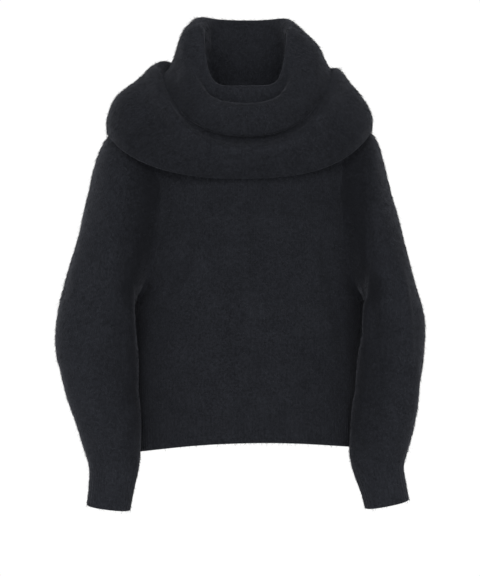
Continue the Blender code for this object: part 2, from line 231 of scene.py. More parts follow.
@dataclass(frozen=True)
class Fold:
    """A soft crease or ridge laid on the cloth along a given path.

    Attributes:
        path: Points of its line, as (across, height) on the side it is read from.
        depth: How far it stands out of the cloth, or sinks into it when negative.
        width: Distance from its line at which a third of the depth is left.
        side: The side of the garment that the path is read from.
        rows: The share of the piece's rows that it may touch.
    """

    path: tuple[tuple[float, float], ...]
    depth: float
    width: float
    side: Side = Side.FRONT
    rows: tuple[float, float] = (0.0, 1.0)

    def line(self, grid: np.ndarray, low: int, high: int) -> np.ndarray:
        """Drop the path on to the cloth.

        Args:
            grid: The piece's cloth.
            low: First row that may be touched.
            high: Row after the last that may be touched.

        Returns:
            Points of the fold's line in space.
        """
        first, depth_axis, sign = self.side.value
        cloth = grid[low:high].reshape(-1, 3)
        known = np.arange(len(self.path))
        path = spline(known, np.array(self.path, float), np.linspace(0, known[-1], 6 * len(known)))
        points = []
        for place in path:
            off = np.hypot(cloth[:, first] - place[0], cloth[:, 2] - place[1])
            reach = max(8.0, off.min() + 4.0)
            depth = np.where(off < reach, cloth[:, depth_axis] * sign - off * 0.5, -1e9)
            nearest = cloth[int(depth.argmax())]
            point = np.empty(3)
            point[first] = place[0]
            point[2] = place[1]
            point[depth_axis] = nearest[depth_axis]
            points.append(point)
        points = np.array(points)
        smooth = points.copy()
        smooth[1:-1] = (points[:-2] + points[1:-1] + points[2:]) / 3
        return smooth

    def lift(self, grid: np.ndarray) -> np.ndarray:
        """Work out how far this fold moves each point of the cloth.

        Args:
            grid: The piece's cloth.

        Returns:
            Rows by columns of distances along the normal.
        """
        rows = len(grid)
        low = int(self.rows[0] * (rows - 1))
        high = int(self.rows[1] * (rows - 1)) + 1
        line = self.line(grid, low, high)
        cloth = grid[low:high].reshape(-1, 3)
        best = np.full(len(cloth), 1e9)
        place = np.zeros(len(cloth))
        for step in range(len(line) - 1):
            start = line[step]
            along = line[step + 1] - start
            share = (cloth - start) @ along / max(float(along @ along), 1e-9)
            share = np.clip(share, 0, 1)
            off = np.linalg.norm(cloth - start - share[:, None] * along, axis=1)
            nearer = off < best
            best = np.where(nearer, off, best)
            place = np.where(nearer, (step + share) / (len(line) - 1), place)
        fade = np.clip(np.minimum(place, 1 - place) / 0.3, 0, 1)
        fade = fade * fade * (3 - 2 * fade)
        moved = np.zeros(grid.shape[:2])
        bump = self.depth * np.exp(-((best / self.width) ** 2)) * fade
        moved[low:high] = bump.reshape(high - low, -1)
        edge = np.ones(rows)
        if self.rows[0] > 0:
            edge *= np.clip((np.arange(rows) - low) / 4, 0, 1)
        if self.rows[1] < 1:
            edge *= np.clip((high - 1 - np.arange(rows)) / 4, 0, 1)
        return moved * edge[:, None]


def unevenness(grid: np.ndarray, size: float) -> np.ndarray:
    """Give cloth a slow, slight unevenness.

    Args:
        grid: The piece's cloth, in millimetres.
        size: The most that it may move, about.

    Returns:
        Rows by columns of distances along the normal.
    """
    waves = (
        (0.031, 0.012, 0.017, 0.4, 0.34),
        (-0.019, 0.027, 0.036, 1.9, 0.26),
        (0.052, -0.033, 0.021, 4.1, 0.18),
        (0.024, 0.055, -0.061, 2.7, 0.14),
        (-0.083, 0.041, 0.029, 5.2, 0.10),
        (0.061, -0.072, 0.094, 0.9, 0.08),
    )
    total = np.zeros(grid.shape[:2])
    for kx, ky, kz, start, share in waves:
        turn = grid[..., 0] * kx + grid[..., 1] * ky + grid[..., 2] * kz + start
        total += share * np.sin(turn)
    return total * size


# The garment's form, as in the solids


@dataclass(frozen=True)
class NeckForm:
    """The collar's cloth, as rails round the neck from the neckline to the free edge.

    Attributes:
        columns: Names of the numbers in a rail.
        rails: One named rail a row.
        centre: Where the neck's middle lies on X.
        peak_angle: Angle of the left peak, in degrees.
        peak_width: Width of the peak, in degrees.
        peak_lift: How far the peak rises.
        peak_shares: How much of the lift each rail takes.
        neckline_angles: Angles of a quarter of the neckline's points, in degrees.
        painted_shading: Painted shade at a rail, at the front; below 0 it is painted light.
    """

    columns: tuple[str, ...] = (
        "left", "right", "front", "back", "front_z", "left_z", "right_z", "back_z", "square", "sag",
    )
    rails: tuple[tuple[Any, ...], ...] = (
        ("neckline", 100, 104, 86, 76, -88, -30, -30, -24, 2.1, 0.1),
        ("inner_low", 86, 90, 82, 78, -55, 0, 2, 10, 2.2, 0.2),
        ("inner_mid", 72, 76, 76, 80, -20, 48, 50, 70, 2.5, 0.4),
        ("inner_high", 67, 67, 74, 84, -2, 90, 92, 118, 2.9, 0.6),
        ("rim", 68, 67, 81, 94, 12, 112, 110, 138, 3.0, 0.7),
        ("rim_foot", 79, 75, 89, 104, -18, 119, 115, 139, 2.5, 0.6),
        ("crest", 97, 92, 110, 114, -17, 107, 104, 126, 2.1, 0.5),
        ("bulge", 108, 117, 126, 122, -40, 82, 80, 100, 2.1, 0.4),
        ("belly", 116, 126, 131, 124, -55, 60, 61, 74, 2.15, 0.3),
        ("under", 125, 132, 127, 120, -67, 46, 51, 54, 2.3, 0.25),
        ("tuck", 132, 138, 116, 121, -66, 40, 44, 42, 2.4, 0.2),
        ("shelf", 138, 143, 121, 128, -77, 47, 46, 44, 2.4, 0.2),
        ("ridge", 145, 149, 134, 134, -87, 51, 46, 40, 2.25, 0.2),
        ("fall", 172, 167, 128, 143, -106, 29, 25, 2, 2.15, 0.2),
        ("skirt", 206, 190, 128, 146, -118, 3, -4, -38, 2.15, 0.2),
        ("drop", 220, 200, 122, 145, -127, -28, -27, -66, 2.3, 0.2),
        ("free_edge", 220, 200, 116, 139, -132, -53, -48, -88, 2.4, 0.2),
    )
    centre: float = 4.0
    peak_angle: float = -120.0
    peak_width: float = 18.0
    peak_lift: float = 11.0
    peak_shares: tuple[tuple[str, float], ...] = (
        ("under", 0.2), ("tuck", 0.7), ("shelf", 1.0), ("ridge", 1.0), ("fall", 0.35),
    )
    neckline_angles: tuple[float, ...] = (90.0, 60.0, 45.0, 37.5, 22.5, 15.0, 7.5)
    # Painted shade in the roll's gutter and towards the free edge, and painted light at the rim where the value is
    # below 0.
    painted_shading: tuple[tuple[str, float], ...] = (
        ("rim", -0.2), ("bulge", 0.2), ("belly", 0.55), ("under", 0.75), ("tuck", 0.6), ("shelf", 0.35),
        ("ridge", 0.1), ("fall", 0.4), ("skirt", 0.75), ("drop", 0.7), ("free_edge", 0.5),
    )

    def points(self, angles: np.ndarray) -> np.ndarray:
        """Find every rail's points.

        Args:
            angles: Angles round the neck, in radians.

        Returns:
            Rails by angles by 3.
        """
        from_peak = (np.degrees(angles) - self.peak_angle + 180) % 360 - 180
        peak = np.exp(-((from_peak / self.peak_width) ** 2))
        shares = dict(self.peak_shares)
        found = []
        for row in self.rails:
            rail = dict(zip(self.columns, row[1:]))
            x, y = oval(
                angles, rail["left"], rail["right"], rail["front"], rail["back"], rail["square"]
            )
            z = round_blend(
                angles, rail["front_z"], rail["left_z"], rail["right_z"], rail["back_z"], rail["sag"]
            )
            z = z + shares.get(row[0], 0.0) * self.peak_lift * peak
            found.append(np.stack([x + self.centre, y, z], axis=-1))
        return np.array(found)

    def cloth(self, rows: int, columns: int) -> np.ndarray:
        """Read the collar's cloth on a fine grid.

        Args:
            rows: Rows from the neckline to the free edge.
            columns: Columns round the neck.

        Returns:
            Rows by columns by 3.
        """
        angles = -math.pi / 2 + np.arange(columns) * 2 * math.pi / columns
        rails = self.points(angles)
        keys = along_cloth(rails)
        return spline(keys, rails, np.linspace(keys[0], keys[-1], rows))

    def painted_shading_rows(self, grid: np.ndarray) -> np.ndarray:
        """Paint shade on the collar in its gutter and towards its free edge, mostly at the front, and paint light over
        it, most at the sides.

        Args:
            grid: The collar's cloth.

        Returns:
            Rows by columns of painted shade; below 0 it is painted light.
        """
        rows, columns = grid.shape[:2]
        angles = -math.pi / 2 + np.arange(columns) * 2 * math.pi / columns
        keys = along_cloth(self.points(angles))
        table = dict(self.painted_shading)
        values = [table.get(row[0], 0.0) for row in self.rails]
        along = np.interp(np.linspace(keys[0], keys[-1], rows), keys, values)
        facing = np.cos(angles)
        share = np.clip(np.where(facing > 0, facing * 1.5, -facing * 0.8), 0, 1)
        # Painted shade along the rails, full at the front and less behind; the offsets are painted light, strongest at
        # the sides.
        return along[:, None] * share - 0.25 - 0.35 * (1 - share)

    def neck_row(self, back: bool) -> np.ndarray:
        """Find a panel's part of the neckline.

        Args:
            back: Whether it is the back panel's.

        Returns:
            Points from the left neck point to the right one.
        """
        quarter = np.radians(self.neckline_angles)
        angles = np.concatenate([-quarter, [0.0], quarter[::-1]])
        return self.points(math.pi - angles if back else angles)[0]


@dataclass(frozen=True)
class BodyForm:
    """The body's two panels.

    Attributes:
        columns: Names of the numbers in a section.
        sections: Level sections, from the rib to the chest.
        squareness: 2 for an ellipse, more for fuller corners.
        underarm: Level of the underarm.
        chest_top: Level where the chest starts to close over the shoulders.
        rows_below: Rows below the underarm.
        rows_beside: Rows beside the armhole.
        rows_over: Rows over the shoulder.
        spans: Spans across a panel.
        shoulder_spans: Spans along each shoulder.
        hem_lift: How far the hem rises in the middle of the front.
        hem_tilt: How far the hem rises to the right.
        seam_forward: Angle that the side seams lie forward of the sides.
        cut_front: Angle that the front armhole cuts in.
        cut_back: Angle that the back armhole cuts in.
        full_level: Level where the armhole is fully cut in.
        left_tip: The left shoulder's tip.
        right_tip: The right shoulder's tip.
    """

    columns: tuple[str, ...] = ("level", "half_width", "centre", "front_depth", "back_depth")
    sections: tuple[tuple[float, ...], ...] = (
        (-498.0, 180.0, 4.0, 116.0, 101.0),
        (-470.0, 182.0, 4.0, 118.0, 103.0),
        (-420.0, 183.0, 5.0, 118.0, 104.0),
        (-370.0, 183.0, 7.0, 116.0, 102.0),
        (-322.0, 181.0, 10.0, 114.0, 102.0),
        (-270.0, 179.0, 11.0, 113.0, 104.0),
        (-210.0, 177.0, 12.0, 112.0, 105.0),
        (-150.0, 172.0, 12.0, 107.0, 103.0),
    )
    squareness: float = 2.1
    underarm: float = -322.0
    chest_top: float = -150.0
    rows_below: int = 6
    rows_beside: int = 7
    rows_over: int = 5
    spans: int = 20
    shoulder_spans: int = 3
    hem_lift: float = 17.0
    hem_tilt: float = 4.0
    seam_forward: float = 14.0
    cut_front: float = 36.0
    cut_back: float = 32.0
    full_level: float = -215.0
    left_tip: tuple[float, float, float] = (-158.0, 6.0, -51.0)
    right_tip: tuple[float, float, float] = (168.0, 6.0, -51.0)

    def ring(self, level: float, angle: np.ndarray) -> np.ndarray:
        """Find points of the body at one level.

        Args:
            level: Height of the ring before the hem's lift.
            angle: Angles in radians.

        Returns:
            One point for each angle.
        """
        levels = [row[0] for row in self.sections]
        row = spline(levels, np.array(self.sections), [level])[0]
        section = dict(zip(self.columns, row))
        width = section["half_width"]
        depths = (section["front_depth"], section["back_depth"])
        x, y = oval(angle, width, width, *depths, self.squareness)
        fade = np.clip((self.underarm - level) / (self.underarm - levels[0]), 0.0, 1.0) ** 2
        lift = self.hem_lift * np.maximum(np.cos(angle), 0.0) ** 2 + self.hem_tilt * np.sin(angle)
        return np.stack([x + section["centre"], y, level + fade * lift], axis=-1)

    def reach(self, level: float, back: bool) -> float:
        """Find how far round a panel goes at a level.

        Args:
            level: Height of the row.
            back: Whether it is the back panel.

        Returns:
            Half of the panel's angle, in radians.
        """
        seam = 90.0 + (self.seam_forward if back else -self.seam_forward)
        cut = 90.0 - (self.cut_back if back else self.cut_front)
        rise = np.clip((level - self.underarm) / (self.full_level - self.underarm), 0.0, 1.0)
        return math.radians(seam + (cut - seam) * math.sqrt(1 - (1 - rise) ** 2))

    def levels(self) -> np.ndarray:
        """List the panel rows' levels.

        Returns:
            Levels from the rib to the top of the chest.
        """
        below = np.linspace(self.sections[0][0], self.underarm, self.rows_below + 1)
        share = np.linspace(0, 1, self.rows_beside + 1)[1:] ** 1.5
        return np.concatenate([below, self.underarm + share * (self.chest_top - self.underarm)])

    def panel(self, neck: NeckForm, back: bool) -> np.ndarray:
        """Find a panel's coarse grid.

        Args:
            neck: The neck that the panel's top meets.
            back: Whether it is the back panel.

        Returns:
            Rows going up by columns going right by 3.
        """
        rows = []
        for level in self.levels():
            reach = self.reach(level, back)
            angles = np.linspace(-reach, reach, self.spans + 1)
            rows.append(self.ring(level, math.pi - angles if back else angles))
        start = rows[-1]
        row = neck.neck_row(back)
        share = np.linspace(0, 1, self.shoulder_spans + 1)[:-1, None]
        left = np.array(self.left_tip)
        right = np.array(self.right_tip)
        left = left + share * (row[0] - left)
        right = right + share * (row[-1] - right)
        top = np.concatenate([left, row, right[::-1]])
        for step in range(1, self.rows_over + 1):
            turn = math.pi / 2 * step / self.rows_over
            share = np.array([step / self.rows_over, 1 - math.cos(turn), math.sin(turn)])
            rows.append(start + share * (top - start))
        return np.array(rows)

    def cloth(self, neck: NeckForm, back: bool, rows: int, columns: int) -> np.ndarray:
        """Read a panel's cloth on a fine grid whose top runs true along shoulders and neckline.

        Args:
            neck: The neck that the panel's top meets.
            back: Whether it is the back panel.
            rows: Rows up the panel.
            columns: Columns across it.

        Returns:
            Rows by columns by 3.
        """
        coarse = self.panel(neck, back)
        grid = finer(coarse, rows, columns, ring=False)
        place = np.linspace(0, self.spans, columns)
        first = self.shoulder_spans
        quarter = np.radians(neck.neckline_angles)
        known = np.concatenate([-quarter, [0.0], quarter[::-1]])
        angles = np.interp(place, first + np.arange(len(known)), known)
        top = neck.points(math.pi - angles if back else angles)[0]
        straight = np.stack([np.interp(place, np.arange(self.spans + 1), coarse[-1][:, k]) for k in range(3)], axis=-1)
        on_neck = (place >= first) & (place <= self.spans - first)
        top = np.where(on_neck[:, None], top, straight)
        fade = np.clip(1 - np.arange(rows)[::-1] / 10, 0, 1)[:, None, None] ** 2
        return grid + fade * (top - grid[-1])

    def armhole(self, neck: NeckForm, left: bool) -> np.ndarray:
        """Find an armhole's edge.

        Args:
            neck: The neck that the panels meet.
            left: Whether it is the left armhole.

        Returns:
            A closed loop, up the front from the underarm and down the back.
        """
        column = 0 if left else -1
        up = self.panel(neck, False)[self.rows_below :, column]
        down = self.panel(neck, True)[self.rows_below + 1 : -1, column][::-1]
        return np.concatenate([up, down])


@dataclass(frozen=True)
class SleeveForm:
    """A sleeve and its cuff, as loops of cloth from the armhole to the cuff's end.

    Attributes:
        sections: One loop a row, with the columns' numbers.
        columns: Names of the numbers in a section.
        lead: How far out the first loop lies from the armhole.
        lead_forward: How far forward its underarm lies.
        lead_lift: How far up its underarm lies.
        cuff_section: The loop where the cuff starts, counting the armhole and the lead.
        squareness: 2 for an ellipse, more for fuller corners.
    """

    sections: tuple[tuple[float, ...], ...]
    columns: tuple[str, ...] = (
        "outer_x", "outer_y", "outer_z", "inner_x", "inner_y", "inner_z", "half_depth", "twist",
    )
    lead: float = 5.0
    lead_forward: float = 6.0
    lead_lift: float = 7.0
    cuff_section: int = 12
    squareness: float = 2.15

    def rails(self, loop: np.ndarray) -> np.ndarray:
        """Find the sleeve's loops.

        Args:
            loop: The armhole's edge.

        Returns:
            Loops by points by 3.
        """
        side = math.copysign(1.0, self.sections[0][0])
        turn = np.arange(len(loop)) * 2 * math.pi / len(loop)
        power = 2.0 / self.squareness
        outward = (-np.sign(np.cos(turn)) * np.abs(np.cos(turn)) ** power)[:, None]
        forward = (np.sign(np.sin(turn)) * np.abs(np.sin(turn)) ** power)[:, None]
        low = np.maximum(np.cos(turn), 0.0) ** 2
        lead = np.stack(
            [side * self.lead + 0 * low, -self.lead_forward * low, self.lead_lift * low], axis=-1
        )
        rings = [loop, loop + lead]
        for row in self.sections:
            ring = dict(zip(self.columns, row))
            outer = np.array([ring["outer_x"], ring["outer_y"], ring["outer_z"]])
            inner = np.array([ring["inner_x"], ring["inner_y"], ring["inner_z"]])
            middle = (outer + inner) / 2
            depth = np.array([ring["twist"], -ring["half_depth"], 0.0])
            rings.append(middle + outward * (outer - middle) + forward * depth)
        return np.array(rings)

    def cloth(self, loop: np.ndarray, rows: int, columns: int, cuff: bool) -> np.ndarray:
        """Read the sleeve's or the cuff's cloth on a fine grid.

        Args:
            loop: The armhole's edge.
            rows: Rows down the arm.
            columns: Columns round the arm.
            cuff: Whether the cuff is wanted.

        Returns:
            Rows by columns by 3.
        """
        rails = self.rails(loop)
        keys = along_cloth(rails)
        split = keys[self.cuff_section]
        ends = (split, keys[-1]) if cuff else (0.0, split)
        coarse = spline(keys, rails, np.linspace(*ends, rows))
        return finer(coarse, rows, columns, ring=True)


# Finishes


@dataclass(frozen=True)
class KnitFinish:
    """A dark brushed knit: mottled wool, faint wales under a nap, a soft sheen, and painted shade and painted light
    read from each point.

    Attributes:
        name: Material name.
        dark: Colour of the wool deep between the wales.
        light: Colour of the brushed ends.
        wale: Width of a column of stitches, in millimetres.
        course: Height of a row of stitches, in millimetres.
        bump: Depth of the relief, in millimetres.
        sheen: Weight of the soft light at grazing angles.
    """

    name: str
    dark: tuple[float, float, float] = (0.0070, 0.0076, 0.0098)
    light: tuple[float, float, float] = (0.0200, 0.0216, 0.0270)
    wale: float = 4.6
    course: float = 3.4
    bump: float = 1.4
    sheen: float = 0.15

    def make(self) -> bpy.types.Material:
        """Build the material.

        Returns:
            The finished material.
        """
        material = bpy.data.materials.new(self.name)
        material.use_nodes = True
        tree = material.node_tree
        nodes = tree.nodes
        links = tree.links
        shader = nodes["Principled BSDF"]
        shader.inputs["Roughness"].default_value = 0.92
        shader.inputs["Specular IOR Level"].default_value = 0.12
        shader.inputs["Sheen Weight"].default_value = self.sheen
        shader.inputs["Sheen Roughness"].default_value = 0.42
        shader.inputs["Sheen Tint"].default_value = (0.62, 0.64, 0.74, 1.0)

        where = nodes.new("ShaderNodeUVMap")
        where.uv_map = "Knit"
        space = nodes.new("ShaderNodeTexCoord")

        def noise(vector: Any, size: tuple[float, float, float], detail: float, rough: float) -> Any:
            """Add noise read at a stretch of its own and return its value."""
            stretch = nodes.new("ShaderNodeVectorMath")
            stretch.operation = "MULTIPLY"
            stretch.inputs[1].default_value = size
            links.new(vector, stretch.inputs[0])
            texture = nodes.new("ShaderNodeTexNoise")
            texture.inputs["Scale"].default_value = 1.0
            texture.inputs["Detail"].default_value = detail
            texture.inputs["Roughness"].default_value = rough
            links.new(stretch.outputs[0], texture.inputs["Vector"])
            return texture.outputs["Fac"]

        def combine(kind: str, first: Any, second: Any) -> Any:
            """Add a math node on two values, or on a value and a number."""
            node = nodes.new("ShaderNodeMath")
            node.operation = kind
            for socket, value in zip(node.inputs, (first, second)):
                if isinstance(value, (int, float)):
                    socket.default_value = value
                else:
                    links.new(value, socket)
            return node.outputs[0]

        # Stitches, bent by a slow wander so that no line is straight
        split = nodes.new("ShaderNodeSeparateXYZ")
        links.new(where.outputs["UV"], split.inputs[0])
        wander = noise(space.outputs["Object"], (38.0, 38.0, 38.0), 2.0, 0.5)
        wander = combine("MULTIPLY", wander, 5.0)
        wales = combine("MULTIPLY", split.outputs["X"], 2 * math.pi / (self.wale * MM))
        wales = combine("SINE", combine("ADD", wales, wander), 0.0)
        courses = combine("MULTIPLY", split.outputs["Y"], 2 * math.pi / (self.course * MM))
        courses = combine("SINE", combine("ADD", courses, combine("MULTIPLY", wander, 1.7)), 0.0)
        stitch = combine("ADD", combine("MULTIPLY", wales, 0.6), combine("MULTIPLY", courses, 0.4))

        # Brushed hair: short strokes down the cloth, and tufts
        strokes = noise(where.outputs["UV"], (620.0, 260.0, 1.0), 4.0, 0.62)
        cross = noise(where.outputs["UV"], (240.0, 560.0, 1.0), 3.0, 0.6)
        tufts = noise(space.outputs["Object"], (230.0, 230.0, 230.0), 3.0, 0.6)
        clouds = noise(space.outputs["Object"], (26.0, 26.0, 26.0), 3.0, 0.55)
        hair = combine("ADD", combine("MULTIPLY", strokes, 0.42), combine("MULTIPLY", cross, 0.22))
        hair = combine("ADD", hair, combine("MULTIPLY", tufts, 0.36))
        tone = combine("ADD", hair, combine("MULTIPLY", combine("SUBTRACT", clouds, 0.5), 0.15))
        tone = combine("ADD", tone, combine("MULTIPLY", stitch, 0.018))
        # Painted shade: a per-point value darkens the wool's colour in the collar's gutter, under its roll and where
        # sleeves and body meet; below 0 it is painted light.
        painted_shading = nodes.new("ShaderNodeAttribute")
        painted_shading.attribute_name = "painted_shading"
        tone = combine("SUBTRACT", tone, combine("MULTIPLY", painted_shading.outputs["Fac"], 0.10))

        ramp = nodes.new("ShaderNodeValToRGB")
        ramp.color_ramp.elements[0].position = 0.39
        ramp.color_ramp.elements[0].color = (*self.dark, 1.0)
        ramp.color_ramp.elements[1].position = 0.63
        ramp.color_ramp.elements[1].color = (*self.light, 1.0)
        links.new(tone, ramp.inputs[0])
        links.new(ramp.outputs["Color"], shader.inputs["Base Color"])

        relief = combine("ADD", combine("MULTIPLY", hair, 1.0), combine("MULTIPLY", stitch, 0.10))
        bump = nodes.new("ShaderNodeBump")
        bump.inputs["Strength"].default_value = 0.75
        bump.inputs["Distance"].default_value = self.bump * MM
        links.new(relief, bump.inputs["Height"])
        links.new(bump.outputs["Normal"], shader.inputs["Normal"])
        return material


@dataclass(frozen=True)
class NapFinish:
    """Fine wool ends that lie on the knit.

    Attributes:
        name: Material name.
        dark: Colour of the darker fibres.
        light: Colour of the lighter fibres.
    """

    name: str = "wool_nap"
    dark: tuple[float, float, float] = (0.0088, 0.0096, 0.0122)
    light: tuple[float, float, float] = (0.041, 0.044, 0.053)

    def make(self) -> bpy.types.Material:
        """Build the material.

        Returns:
            The finished material.
        """
        material = bpy.data.materials.new(self.name)
        material.use_nodes = True
        tree = material.node_tree
        shader = tree.nodes["Principled BSDF"]
        shader.inputs["Roughness"].default_value = 0.85
        shader.inputs["Specular IOR Level"].default_value = 0.1
        shader.inputs["Sheen Weight"].default_value = 0.04
        shader.inputs["Sheen Roughness"].default_value = 0.5
        # Each fibre's tone attribute is a random tone dimmed by painted shade and raised by painted light.
        tone = tree.nodes.new("ShaderNodeAttribute")
        tone.attribute_name = "tone"
        ramp = tree.nodes.new("ShaderNodeValToRGB")
        ramp.color_ramp.elements[0].color = (*self.dark, 1.0)
        ramp.color_ramp.elements[1].color = (*self.light, 1.0)
        tree.links.new(tone.outputs["Fac"], ramp.inputs[0])
        tree.links.new(ramp.outputs["Color"], shader.inputs["Base Color"])
        return material


@dataclass
class Wardrobe:
    """The materials, made once each.

    Attributes:
        made: Materials by name.
    """

    made: dict[str, bpy.types.Material] = field(default_factory=dict)

    def get(self, finish: "KnitFinish | NapFinish") -> bpy.types.Material:
        """Find or make a material.

        Args:
            finish: What it looks like.

        Returns:
            The material.
        """
        if finish.name not in self.made:
            self.made[finish.name] = finish.make()
        return self.made[finish.name]


# Pieces of cloth


@dataclass(frozen=True)
class Nap:
    """How the fibres lie on a piece.

    Attributes:
        count: Number of fibres.
        length: Shortest and longest fibre, in millimetres.
        width: Width at the root, in millimetres.
        lift: Slope at the root, as rise over run, least and most.
        seed: Seed of the scatter.
    """

    count: int
    length: tuple[float, float] = (5.0, 12.0)
    width: float = 0.34
    lift: tuple[float, float] = (0.06, 0.30)
    seed: int = 1


@dataclass
class Cloth:
    """One knitted piece: its fine grid, folds, wall, finish and nap.

    Attributes:
        node: The solid that it stands for.
        finish: Which knit it is.
        ring: Whether its last column meets its first.
        folds: Folds laid on it.
        flat: Width and length of its cut at the widest and longest, in metres. Not used.
        area: Flat area of its cut, in square metres. Not used.
        hangs_on: The nodes that carry it. Not used.
        nap: The fibres on it.
        shape: Gives the middle of its cloth, rows by columns by 3, in millimetres.
        ribs: Ribs across the piece, or 0.
        wall: Thickness of the knit, in millimetres.
        wave: Most that the cloth wanders by itself, in millimetres.
        seams: Which edges are sewn: first row, last row, and both side columns.
        dips: How far the cloth dips at those edges, in millimetres.
        paint_shading: Gives the painted shade at each point; below 0 it is painted light.
    """

    node: str
    finish: Finish
    ring: bool
    folds: tuple[Fold, ...]
    flat: tuple[float, float]
    area: float
    hangs_on: tuple[str, ...]
    nap: Nap
    shape: Callable[[], np.ndarray]
    ribs: int = 0
    wall: float = 3.0
    wave: float = 1.6
    seams: tuple[bool, bool, bool] = (True, True, True)
    dips: tuple[float, float, float] = (0.0, 0.3, 0.2)
    paint_shading: Callable[[np.ndarray], np.ndarray] = lambda grid: np.zeros(grid.shape[:2])

    def lay(self) -> tuple[np.ndarray, np.ndarray]:
        """Work out the cloth with its folds.

        Returns:
            The middle of the cloth and its outward normals.
        """
        grid = self.shape()
        normal = grid_normals(grid, self.ring)
        outward = grid - np.array([4.0, 0.0, 0.0])
        outward[..., 2] = 0.0
        if self.ring and self.node != "collar":
            outward = grid - grid.mean(axis=1, keepdims=True)
        if self.node == "collar":
            outward[: len(grid) * 3 // 4] = 0.0
        if np.sum(normal * outward) < 0:
            normal = -normal
        move = self.calm_edges(unevenness(grid, self.wave))
        for fold in self.folds:
            move = move + self.calm_edges(fold.lift(grid), 3.0)
        grid = grid + normal * move[..., None]
        normal = grid_normals(grid, self.ring)
        if np.sum(normal * outward) < 0:
            normal = -normal
        return grid, normal

    def edge_distances(self, shape: tuple[int, ...]) -> list[np.ndarray]:
        """Count how many points each point lies from each kind of sewn edge.

        Args:
            shape: Rows and columns.

        Returns:
            Rows by columns of counts, for the first row, the last row and the sides.
        """
        rows = np.arange(shape[0])[:, None] + np.zeros(shape[:2])
        columns = np.arange(shape[1])[None, :] + np.zeros(shape[:2])
        sides = np.minimum(columns, shape[1] - 1 - columns) + (1e3 if self.ring else 0.0)
        found = (rows, shape[0] - 1 - rows, sides)
        return [away if sewn else away + 1e3 for away, sewn in zip(found, self.seams)]

    def calm_edges(self, move: np.ndarray, points: float = 6.0) -> np.ndarray:
        """Fade a movement out towards the sewn edges, where two pieces meet.

        Args:
            move: Rows by columns of distances.
            points: Over how many points it fades.

        Returns:
            The faded distances.
        """
        share = np.clip(np.minimum.reduce(self.edge_distances(move.shape)) / points, 0, 1)
        return move * share * share * (3 - 2 * share)

    def rib_rise(self, shape: tuple[int, ...]) -> np.ndarray:
        """Raise the ribs.

        Args:
            shape: Rows and columns.

        Returns:
            Rows by columns of distances, outer side only.
        """
        if not self.ribs:
            return np.zeros(shape[:2])
        turn = np.arange(shape[1]) / (shape[1] if self.ring else shape[1] - 1)
        wave = 0.5 + 0.5 * np.cos(2 * math.pi * self.ribs * turn)
        start = np.clip(np.arange(shape[0]) / 4, 0, 1)[:, None]
        return 0.6 * wave**0.8 * start * start * (3 - 2 * start)

    def measure(self, grid: np.ndarray) -> tuple[np.ndarray, np.ndarray]:
        """Measure the cloth along its columns and rows.

        Args:
            grid: The middle of the cloth.

        Returns:
            Mean distance across for each column, and down for each row, in metres.
        """
        across = np.linalg.norm(np.diff(grid, axis=1), axis=-1).mean(axis=0)
        down = np.linalg.norm(np.diff(grid, axis=0), axis=-1).mean(axis=1)
        across = np.concatenate([[0.0], np.cumsum(across)]) * MM
        down = np.concatenate([[0.0], np.cumsum(down)]) * MM
        return across, down

    def build(self, wardrobe: Wardrobe) -> bpy.types.Object:
        """Make the piece and its nap.

        Args:
            wardrobe: The materials.

        Returns:
            The piece of cloth.
        """
        grid, normal = self.lay()
        rows, columns = grid.shape[:2]
        rise = self.rib_rise(grid.shape)
        for away, dip in zip(self.edge_distances(grid.shape), self.dips):
            rise = rise - dip * np.exp(-away / 2.0)
        outer = grid + normal * (self.wall / 2 + rise)[..., None]
        inner = grid - normal * (self.wall / 2)
        ends = self.rounded_ends(grid)
        points = np.concatenate([outer.reshape(-1, 3), inner.reshape(-1, 3), *ends]) * MM
        faces, knit, bake = self.faces(grid)
        if signed_volume(points, faces) < 0:
            faces = faces[:, ::-1]
            knit = knit[:, ::-1]
            bake = bake[:, ::-1]
        # Painted shade and painted light at each point, stored on the mesh for the wool material and passed on to
        # darken or lighten the fibres.
        painted_shading = self.paint_shading(grid)
        each = np.concatenate([painted_shading.reshape(-1), painted_shading.reshape(-1), painted_shading[0], painted_shading[-1]])
        piece = mesh_object(
            self.node + "_cloth", points, faces, {"Knit": knit, "OFBake": bake}, ("painted_shading", each)
        )
        self.sharpen(piece, grid.shape)
        piece.data.materials.append(wardrobe.get(KnitFinish("wool_" + self.finish.value)))
        nap = self.build_nap(outer, normal, painted_shading, wardrobe)
        for thing in (piece, nap):
            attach(thing, "root")
        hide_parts(self.node)
        LOG.info(
            "%s: %d by %d points, %d triangles, %.4f m2 of cloth, nap %d triangles",
            self.node, rows, columns, 2 * len(faces), half_area(points, faces), len(nap.data.polygons),
        )
        return piece

